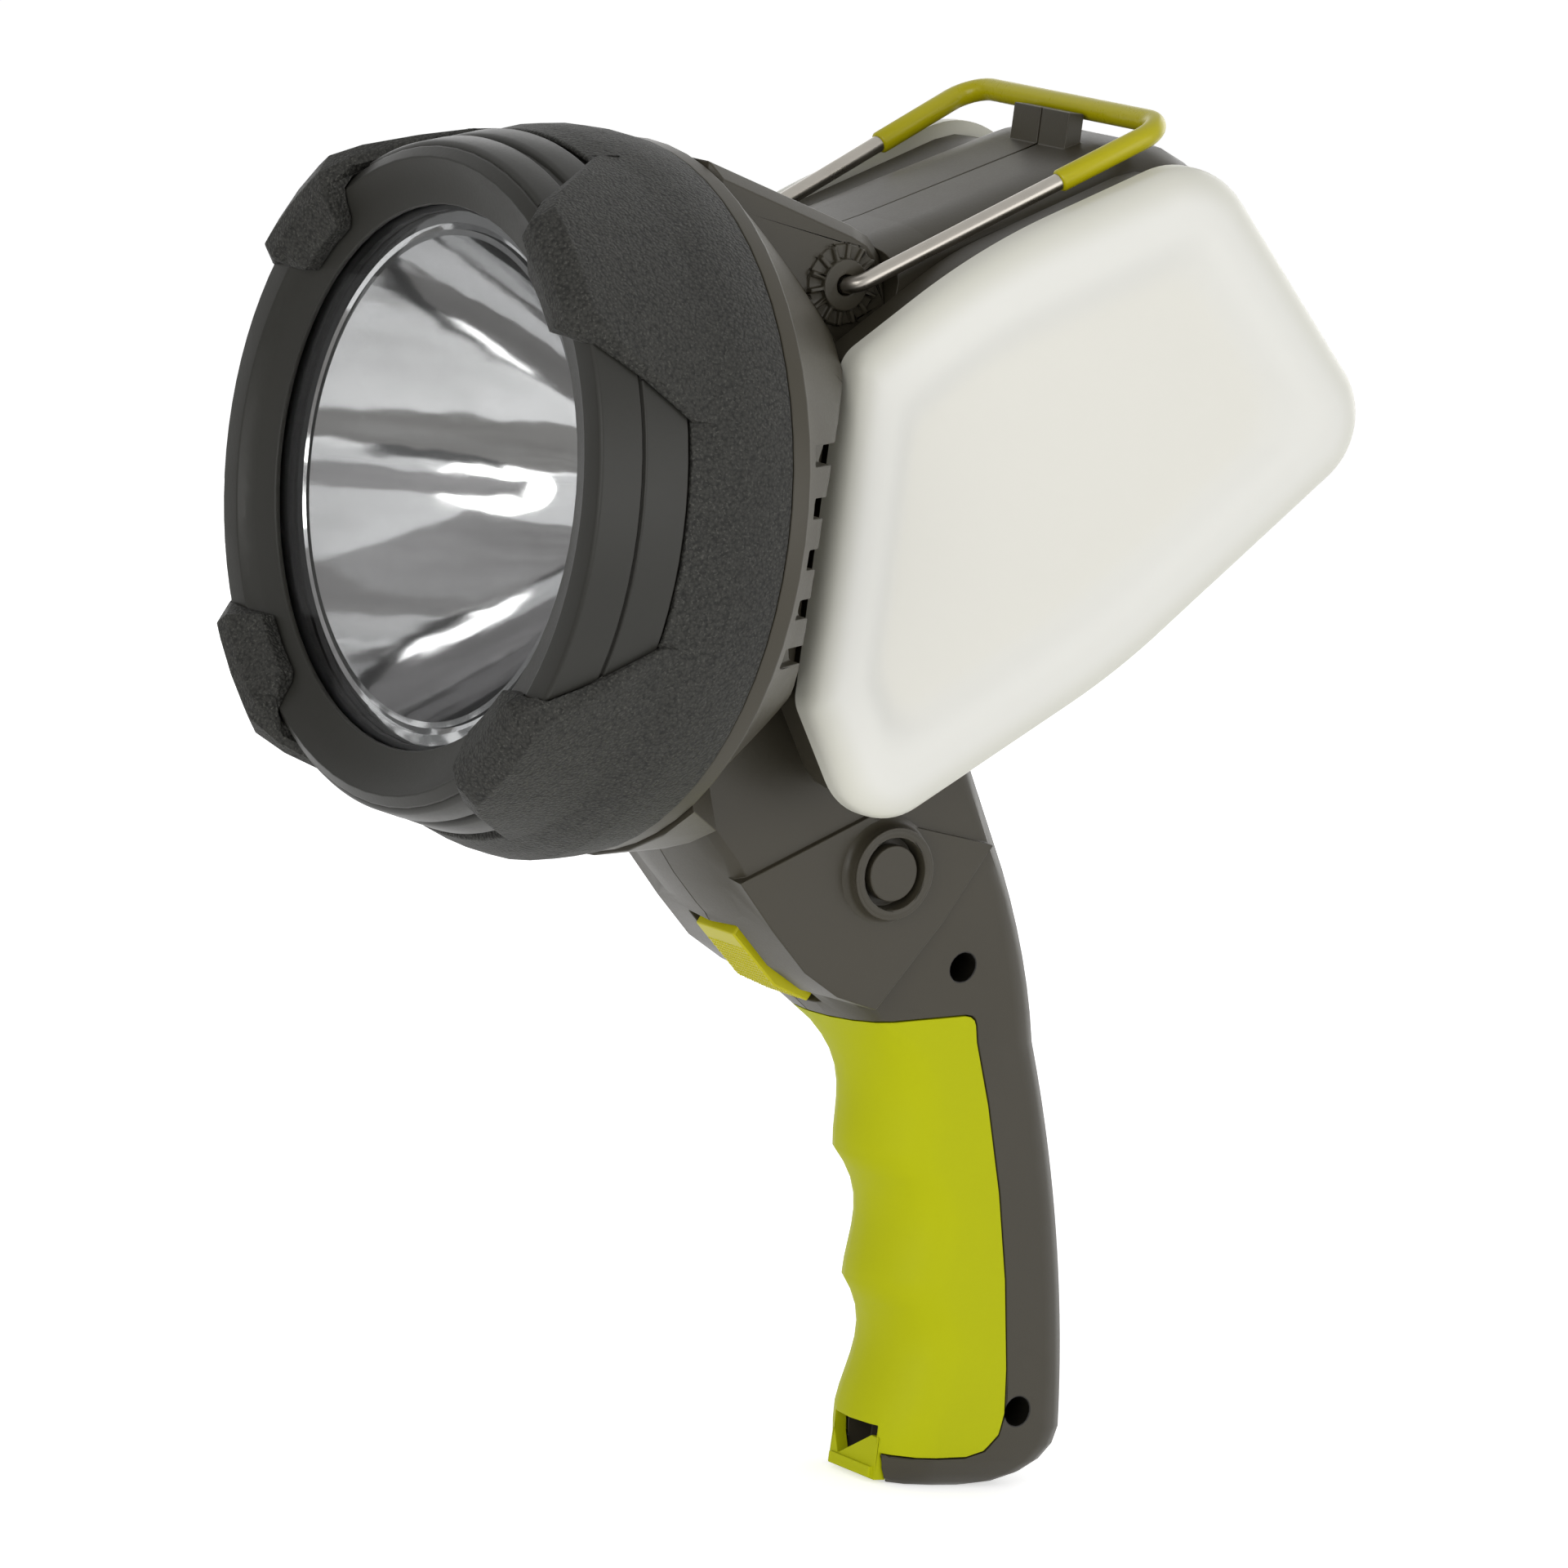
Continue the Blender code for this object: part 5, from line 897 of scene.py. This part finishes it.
class Growth(Tree):
    """A Geometry Nodes tree with named inputs that ends in Realize Instances and Set Material."""

    def __init__(self, name, inputs):
        super().__init__(bpy.data.node_groups.new(name, "GeometryNodeTree"))
        face = self.tree.interface
        face.new_socket("Geometry", in_out="INPUT", socket_type="NodeSocketGeometry")
        for label, kind in inputs:
            face.new_socket(label, in_out="INPUT", socket_type=kind)
        face.new_socket("Material", in_out="INPUT", socket_type="NodeSocketMaterial")
        face.new_socket("Geometry", in_out="OUTPUT", socket_type="NodeSocketGeometry")
        self.given = self.node("NodeGroupInput", {}, {}).outputs

    def end(self, geometry):
        real = self.node("GeometryNodeRealizeInstances", {}, {0: geometry})
        worn = self.node("GeometryNodeSetMaterial", {}, {
            "Geometry": real.outputs[0], "Material": self.given["Material"],
        })
        self.node("NodeGroupOutput", {}, {0: worn.outputs[0]})

    def grow(self, obj, values):
        """Runs the tree on the object, with its inputs set by their sockets' identifiers."""
        modifier = obj.modifiers.new(self.tree.name, "NODES")
        modifier.node_group = self.tree
        for item in self.tree.interface.items_tree:
            if item.in_out == "INPUT" and item.name in values:
                modifier[item.identifier] = values[item.name]
        settled(obj)
        if not obj.data.polygons:
            raise RuntimeError(f"{obj.name} grew no faces")


def guide(name, points, edges, widths=None):
    """A bare mesh of points and edges that a tree grows from."""
    mesh = bpy.data.meshes.new(name)
    mesh.from_pydata([tuple(point) for point in points], edges, [])
    if widths:
        stored = mesh.attributes.new("width", "FLOAT", "POINT")
        stored.data.foreach_set("value", widths)
    return linked(name, mesh)


def tube_tree():
    """A round tube along the guide, as thick at each point as its width says."""
    growth = Growth("tube", [("Radius", "NodeSocketFloat"), ("Sides", "NodeSocketInt")])
    curve = growth.node("GeometryNodeMeshToCurve", {}, {0: growth.given["Geometry"]})
    width = growth.node(
        "GeometryNodeInputNamedAttribute", {"data_type": "FLOAT"}, {"Name": "width"}
    )
    ring = growth.node(
        "GeometryNodeCurvePrimitiveCircle", {"mode": "RADIUS"},
        {"Resolution": growth.given["Sides"], "Radius": growth.given["Radius"]},
    )
    skin = growth.node("GeometryNodeCurveToMesh", {}, {
        "Curve": curve.outputs[0], "Profile Curve": ring.outputs[0],
        "Scale": width.outputs[0], "Fill Caps": True,
    })
    growth.end(skin.outputs[0])
    return growth


def dots_tree():
    """A small dome on every point of the guide."""
    growth = Growth("dots", [("Radius", "NodeSocketFloat"), ("Tilt", "NodeSocketVector")])
    points = growth.node("GeometryNodeMeshToPoints", {}, {0: growth.given["Geometry"]})
    dome = growth.node("GeometryNodeMeshUVSphere", {}, {
        "Segments": DOT_SIDES, "Rings": DOT_RINGS, "Radius": growth.given["Radius"],
    })
    even = growth.node("GeometryNodeSetShadeSmooth", {}, {"Geometry": dome.outputs[0]})
    set_out = growth.node("GeometryNodeInstanceOnPoints", {}, {
        "Points": points.outputs[0], "Instance": even.outputs[0],
        "Rotation": growth.given["Tilt"], "Scale": DOT_SQUASH,
    })
    growth.end(set_out.outputs[0])
    return growth


def arc_corner(before, corner, after, bend):
    """Points of a bend that replaces a sharp corner of a path."""
    one, two = (before - corner).normalized(), (after - corner).normalized()
    half = one.angle(two) / 2
    reach = bend / math.tan(half)
    middle = corner + (one + two).normalized() * (bend / math.sin(half))
    first, last = corner + one * reach - middle, corner + two * reach - middle
    axis = first.cross(last).normalized()
    sweep = first.angle(last)
    return [
        middle + Matrix.Rotation(sweep * k / BEND_STEPS, 3, axis) @ first
        for k in range(BEND_STEPS + 1)
    ]


def hook_run():
    """Direction of the hook's arms as it lies on its catch."""
    angle = math.radians(HOOK_ANGLE)
    return Vector((0.0, math.cos(angle), math.sin(angle)))


def hook_path():
    """Centre line of the wire from its pivot, from one pin to the other."""
    run = hook_run()
    right = [
        Vector((HOOK_PIN, 0.0, 0.0)),
        Vector((HOOK_PIVOT_HALF, 0.0, 0.0)),
        Vector((HOOK_CORNER_HALF, 0.0, 0.0)) + run * HOOK_LENGTH,
        run * HOOK_LENGTH,
    ]
    half = [right[0]]
    half += arc_corner(right[0], right[1], right[2], HOOK_PIN_BEND)
    half += arc_corner(right[1], right[2], right[3], HOOK_CORNER_BEND)
    mirrored = [Vector((-point.x, point.y, point.z)) for point in half]
    return half + list(reversed(mirrored))


def tube(name, path, widths, radius, slot, stands_for):
    """A tube of the hook along a path, with its width at each point as a share of its radius."""
    obj = guide(name, path, [(i, i + 1) for i in range(len(path) - 1)], widths)
    tube_tree().grow(obj, {"Radius": radius, "Sides": TUBE_SIDES, "Material": look(slot)})
    obj.data.shade_smooth()
    obj.data.set_sharp_from_angle(angle=math.radians(TUBE_SHADE_ANGLE))
    joined_frame(obj, "hook", stands_for)


# ---------------------------------------------------------------- pieces


def head_pieces():
    """The head's housing, its front ring and the rubber guard."""
    softened("head_housing", "head_shell", "housing_grey", sizes().edge)
    softened("bezel_ring", "front_ring", "head_grey", sizes().edge)
    softened("rubber_guard", "guard", "rubber_black", sizes().rubber_edge)
    for name, (first, last) in RIDGE_ARCS.items():
        ridge_piece(f"ring_ridges_{name}", first, last)


def optics_pieces():
    """The mirror with its flange beads, and the lens in front of it."""
    low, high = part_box("reflector")
    front = low.y
    flange = (high.x - low.x) / 2
    squares = MIRROR_MOUTH**2 - MIRROR_HOLE**2
    inner = []
    for i in range(MIRROR_RINGS + 1):
        radius = MIRROR_MOUTH + (MIRROR_HOLE - MIRROR_MOUTH) * i / MIRROR_RINGS
        along = front + MIRROR_DEPTH * (MIRROR_MOUTH**2 - radius**2) / squares
        inner.append((along, radius))
    outer = [(along, radius + MIRROR_WALL) for along, radius in reversed(inner[1:])]
    back = front + MIRROR_WALL
    bead = MIRROR_MOUTH + MIRROR_LAND
    profile = inner + outer + [
        (back, MIRROR_MOUTH + MIRROR_WALL), (back, flange), (front, flange),
        (front, bead + MIRROR_BEAD), (front + MIRROR_BEAD / 2, bead + MIRROR_BEAD / 2),
        (front, bead),
    ]
    turned_piece("mirror", profile, "chrome", ["reflector"], degrees=MIRROR_SHADE_ANGLE)
    low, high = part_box("lens")
    radius = (high.x - low.x) / 2
    rim = radius - LENS_BEVEL
    profile = [
        (low.y, 0.0), (low.y, rim), (low.y + LENS_BEVEL, radius),
        (high.y - LENS_BEVEL, radius), (high.y, rim), (high.y, 0.0),
    ]
    turned_piece("front_lens", profile, "clear_lens", ["lens"], closed=False)


def housing_pieces():
    """The two halves of the housing, and the collar round the button."""
    for side in ("right", "left"):
        softened(
            f"housing_{side}", f"shell_{side}", "housing_grey",
            sizes().edge * HOUSING_EDGE_SHARE, seam=SEAM_REACH,
        )
    collar_piece()


def cover_piece(side):
    """A milky side cover, with each point's distance from the outline stored as its inset."""
    name = "right" if side > 0 else "left"
    low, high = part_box(f"area_diffuser_{name}")
    start = min(abs(low.x), abs(high.x)) if low.x * high.x > 0 else 0.0
    top = max(abs(low.x), abs(high.x)) - start
    rings = [(0.0, 0.0), (0.0, COVER_LIP)]
    for k in range(1, COVER_SHOULDER_STEPS + 1):
        turn = math.pi / 2 * k / COVER_SHOULDER_STEPS
        rings.append((
            COVER_SHOULDER * (1 - math.cos(turn)) ** COVER_SHOULDER_IN,
            COVER_LIP + (top - COVER_LIP) * math.sin(turn) ** COVER_SHOULDER_UP,
        ))
    for k in range(1, COVER_DISH_STEPS + 1):
        share = k / COVER_DISH_STEPS
        rings.append((
            COVER_SHOULDER + COVER_DISH_EDGE * share,
            top - COVER_DISH * (3 * share**2 - 2 * share**3),
        ))
    rings.append((COVER_PANEL, top - COVER_DISH))
    ceiling = top - COVER_WALL - COVER_DISH
    inner = [
        (COVER_FLANGE, 0.0), (COVER_FLANGE, COVER_LIP),
        (COVER_FLANGE + COVER_WALL / 2, top / 2), (COVER_SHOULDER, ceiling),
        (COVER_SHOULDER + COVER_DISH_EDGE, ceiling),
    ]
    mesh_data = bmesh.new()
    stored = mesh_data.verts.layers.float.new("inset")
    rows = []
    for inset, rise in [*reversed(rings), *inner]:
        row = []
        for y, z in cover_outline(inset):
            vertex = mesh_data.verts.new(((start + rise) * side, y, z))
            vertex[stored] = inset
            row.append(vertex)
        rows.append(row)
    bridged(mesh_data, rows)
    for row in (rows[0], rows[-1]):
        mesh_data.faces.new(row)
    placed(
        f"cover_{name}", mesh_data, "milky_diffuser", "lamp", [f"area_diffuser_{name}"],
        COVER_SHADE_ANGLE,
    )


def light_pieces():
    """The two milky covers and the dark trays behind them."""
    for side, name in ((1, "right"), (-1, "left")):
        cover_piece(side)
        softened(f"light_tray_{name}", f"tray_{name}", "housing_grey", sizes().edge)


def trigger_dots():
    """Rows of small domes on the trigger's lower face."""
    run = TRIGGER_LOW - TRIGGER_TOP
    length = run.length
    run.normalize()
    normal = Vector((run.y, -run.x))
    origin = TRIGGER_TOP + Vector((HEAD.y, HEAD.z))
    rows, columns = sizes().dot_rows, sizes().dot_columns
    pitch = 2 * TRIGGER_HALF * DOTS_WIDTH / (columns - 1)
    points = []
    for row in range(rows):
        share = DOTS_START + (DOTS_END - DOTS_START) * row / (rows - 1)
        rise = min(share / TRIGGER_KNEE, (1 - share) / (1 - TRIGGER_KNEE))
        out = TRIGGER_FLAT + (TRIGGER_PROUD - TRIGGER_FLAT) * rise
        place = origin + run * length * share + normal * out
        count = columns - row % 2
        points += [
            ((column - (count - 1) / 2) * pitch, place.x, place.y) for column in range(count)
        ]
    obj = guide("trigger_dots", points, [])
    lean = math.atan2(normal.y, normal.x) - math.pi / 2
    dots_tree().grow(obj, {
        "Radius": sizes().dot, "Tilt": (lean, 0.0, 0.0), "Material": look("trigger_yellow"),
    })
    joined_frame(obj, "trigger_piece", [])


def grip_pieces():
    """The soft grip, the trigger with its dots, the button's cap and the socket's flap."""
    edge = sizes().edge
    soft_edge = edge * SOFT_EDGE_SHARE
    softened("grip_overmould", "grip_skin", "grip_lime", soft_edge, GRIP_EDGE_ANGLE)
    softened("trigger", "trigger_cap", "trigger_yellow", edge)
    softened("mode_button", "button_cap", "housing_grey", edge)
    softened("charge_flap", "flap_cover", "rubber_black", soft_edge)
    trigger_dots()


def hook_pieces():
    """The bent wire and the sleeve over its crossbar."""
    path = hook_path()
    wire = [HOOK_PIVOT + point for point in path]
    tube("hook_bar", wire, [1.0] * len(wire), WIRE_RADIUS, "steel", ["hook_wire"])
    run = hook_run()
    start = HOOK_LENGTH - SLEEVE_ARM
    kept = [point for point in path if point.dot(run) > start]
    width = HOOK_PIVOT_HALF + (HOOK_CORNER_HALF - HOOK_PIVOT_HALF) * start / HOOK_LENGTH
    ends = []
    for side, nearest in ((1, kept[0]), (-1, kept[-1])):
        end = Vector((width * side, 0.0, 0.0)) + run * start
        ends.append([end, end + (nearest - end).normalized() * SLEEVE_LIP])
    route = [HOOK_PIVOT + point for point in [*ends[0], *kept, *reversed(ends[1])]]
    widths = [SLEEVE_LIP_SHARE, *[1.0] * (len(route) - 2), SLEEVE_LIP_SHARE]
    tube("hook_grip", route, widths, SLEEVE_RADIUS, "sleeve_olive", ["hook_sleeve"])


INNER_LOOKS = {
    "lens_gasket": "gasket_black", "led_board": "board_white", "led_emitter": "emitter_yellow",
    "heat_sink": "aluminium", "area_board_right": "board_white",
    "area_board_left": "board_white", "battery_cell_right": "cell_blue",
    "battery_cell_left": "cell_blue", "battery_holder": "switch_black",
    "tact_switch": "switch_black", "control_board": "board_green",
    "trigger_switch": "switch_black", "charge_socket": "switch_black",
    "housing_screw_upper": "screw_steel", "housing_screw_lower": "screw_steel",
    "housing_screw_rear": "screw_steel", "housing_screw_front": "screw_steel",
}


def inner_looks():
    """Finishes of the CAD nodes that are shown as they are."""
    for node, slot in INNER_LOOKS.items():
        wear(frame["nodes"][node], slot)


# ---------------------------------------------------------------- stage


def staged(obj):
    """Puts an object of the stage into the scene."""
    bpy.context.scene.collection.objects.link(obj)
    return obj


def aimed(obj, place, target, axis):
    """Stands the object at its place, with this axis of it towards the target."""
    obj.location = place
    obj.rotation_mode = "QUATERNION"
    obj.rotation_quaternion = (Vector(target) - Vector(place)).to_track_quat(axis, "Y")


def sheet(name, width, height, level, material):
    """A level rectangle about the vertical axis, for the floor and the cards."""
    mesh = bpy.data.meshes.new(name)
    mesh.from_pydata([
        (width / 2 * x, height / 2 * y, level) for x, y in ((-1, -1), (1, -1), (1, 1), (-1, 1))
    ], [], [(0, 1, 2, 3)])
    mesh.materials.append(material)
    return staged(bpy.data.objects.new(name, mesh))


def lamp(name, place, size, power, colour):
    """A round soft lamp that looks at the lamp's body."""
    data = bpy.data.lights.new(name, "AREA")
    data.shape = "DISK"
    data.size = size
    data.energy = power
    data.color = colour
    aimed(staged(bpy.data.objects.new(name, data)), place, LAMP_TARGET, "-Z")


def card(name, place, target, width, height, tone):
    """A glowing board with soft streaks that only the mirror and glossy surfaces see."""
    material = bpy.data.materials.new(name)
    material.use_nodes = True
    material.node_tree.nodes.clear()
    tree = Tree(material.node_tree)
    longer = tree.node("ShaderNodeVectorMath", {"operation": "MULTIPLY"}, {
        0: tree.node("ShaderNodeTexCoord", {}, {}).outputs["Object"], 1: CARD_STREAKS,
    })
    streaks = tree.node(
        "ShaderNodeTexNoise", {}, {"Vector": longer.outputs[0], "Scale": 1.0}
    )
    tones = tree.node("ShaderNodeMix", {"data_type": "RGBA"}, {
        0: streaks.outputs[0], 6: opaque(toned(tone, CARD_DARKEST)),
        7: opaque(toned(tone, CARD_PALEST)),
    })
    glow = tree.node("ShaderNodeEmission", {}, {"Color": tones.outputs[2]})
    tree.node("ShaderNodeOutputMaterial", {}, {0: glow.outputs[0]})
    made = sheet(name, width, height, 0.0, material)
    aimed(made, place, target, "Z")
    made.visible_camera = False
    made.visible_diffuse = False
    made.visible_shadow = False


def world():
    """White to the camera, to reflections and through the lens; plain soft light elsewhere."""
    made = bpy.data.worlds.new("studio")
    made.use_nodes = True
    tree = Tree(made.node_tree)
    back = made.node_tree.nodes["Background"]
    tree.feed(back.inputs["Color"], (1.0, 1.0, 1.0, 1.0))
    tree.feed(back.inputs["Strength"], tree.where_seen(AMBIENT, AMBIENT_SEEN))
    bpy.context.scene.world = made


def floor():
    """White floor: camera and reflections see it white but for the object's shadow."""
    finish = Look(
        "floor", Base_Color=(0.92, 0.92, 0.92, 1.0), Roughness=0.9, Specular_IOR_Level=0.0,
        Emission_Color=(1.0, 1.0, 1.0, 1.0),
    )
    finish.set("Emission Strength", finish.where_seen(FLOOR_GLOW, FLOOR_GLOW_SEEN))
    level = CAD_BOUNDS[0].z - FLOOR_DROP
    sheet("floor", 2 * FLOOR_REACH, 2 * FLOOR_REACH, level, finish.material)


def stage_set():
    """Camera, floor, world, lamps and the cards that the mirror shows."""
    bpy.context.scene.view_settings.view_transform = "Standard"
    data = bpy.data.cameras.new("camera")
    data.sensor_width = CAMERA_SENSOR
    data.lens = CAMERA_LENS
    camera = staged(bpy.data.objects.new("camera", data))
    axes = Matrix((CAMERA_RIGHT, CAMERA_UP, CAMERA_BACK)).transposed().to_4x4()
    camera.matrix_world = Matrix.Translation(CAMERA_PLACE) @ axes
    bpy.context.scene.camera = camera
    world()
    floor()
    for name, settings in LAMPS.items():
        lamp(name, *settings)
    for name, settings in CARDS.items():
        card(name, *settings)


# ---------------------------------------------------------------- add-on


class SEARCHLIGHT_OT_head(Operator):
    """Builds the head's housing, its front ring with the ridges and the rubber guard"""

    bl_idname = "searchlight.head"
    bl_label = "Head"

    def execute(self, context):
        head_pieces()
        return {"FINISHED"}


class SEARCHLIGHT_OT_optics(Operator):
    """Builds the mirror and the lens"""

    bl_idname = "searchlight.optics"
    bl_label = "Mirror and lens"

    def execute(self, context):
        optics_pieces()
        return {"FINISHED"}


class SEARCHLIGHT_OT_housing(Operator):
    """Builds the two halves of the housing and the button's collar"""

    bl_idname = "searchlight.housing"
    bl_label = "Housing"

    def execute(self, context):
        housing_pieces()
        return {"FINISHED"}


class SEARCHLIGHT_OT_lights(Operator):
    """Builds the milky side covers and their trays"""

    bl_idname = "searchlight.lights"
    bl_label = "Side lights"

    def execute(self, context):
        light_pieces()
        return {"FINISHED"}


class SEARCHLIGHT_OT_grip(Operator):
    """Builds the soft grip, the trigger, the button and the flap"""

    bl_idname = "searchlight.grip"
    bl_label = "Grip and controls"

    def execute(self, context):
        grip_pieces()
        return {"FINISHED"}


class SEARCHLIGHT_OT_hook(Operator):
    """Builds the wire hook and its sleeve"""

    bl_idname = "searchlight.hook"
    bl_label = "Hook"

    def execute(self, context):
        hook_pieces()
        return {"FINISHED"}


class SEARCHLIGHT_OT_inside(Operator):
    """Gives the inner pieces and the screws their finishes"""

    bl_idname = "searchlight.inside"
    bl_label = "Inner pieces"

    def execute(self, context):
        inner_looks()
        return {"FINISHED"}


class SEARCHLIGHT_OT_stage(Operator):
    """Sets the camera, the floor, the light and the cards"""

    bl_idname = "searchlight.stage"
    bl_label = "Stage"

    def execute(self, context):
        stage_set()
        return {"FINISHED"}


OPERATORS = (
    SEARCHLIGHT_OT_head, SEARCHLIGHT_OT_optics, SEARCHLIGHT_OT_housing, SEARCHLIGHT_OT_lights,
    SEARCHLIGHT_OT_grip, SEARCHLIGHT_OT_hook, SEARCHLIGHT_OT_inside, SEARCHLIGHT_OT_stage,
)


class SEARCHLIGHT_PT_panel(Panel):
    """Sizes, colours and building steps of the searchlight"""

    bl_idname = "SEARCHLIGHT_PT_panel"
    bl_label = "Handheld Searchlight"
    bl_space_type = "VIEW_3D"
    bl_region_type = "UI"
    bl_category = "Searchlight"

    def draw(self, context):
        layout = self.layout
        for settings in (context.scene.searchlight_sizes, context.scene.searchlight_colours):
            box = layout.box()
            for name in settings.bl_rna.properties.keys():
                if name not in ("rna_type", "name"):
                    box.prop(settings, name)
        column = layout.column()
        for operator in OPERATORS:
            column.operator(operator.bl_idname)


CLASSES = (SearchlightSizes, SearchlightColours, *OPERATORS, SEARCHLIGHT_PT_panel)


def register():
    for item in CLASSES:
        bpy.utils.register_class(item)
    bpy.types.Scene.searchlight_sizes = PointerProperty(type=SearchlightSizes)
    bpy.types.Scene.searchlight_colours = PointerProperty(type=SearchlightColours)


def unregister():
    del bpy.types.Scene.searchlight_colours
    del bpy.types.Scene.searchlight_sizes
    for item in reversed(CLASSES):
        bpy.utils.unregister_class(item)


def main():
    """Builds every piece and the stage in order. A step that can't finish raises an error."""
    register()
    for operator in OPERATORS:
        group, name = operator.bl_idname.split(".")
        if getattr(getattr(bpy.ops, group), name)() != {"FINISHED"}:
            raise RuntimeError(f"{operator.bl_label} did not finish")


if __name__ == "__main__":
    main()
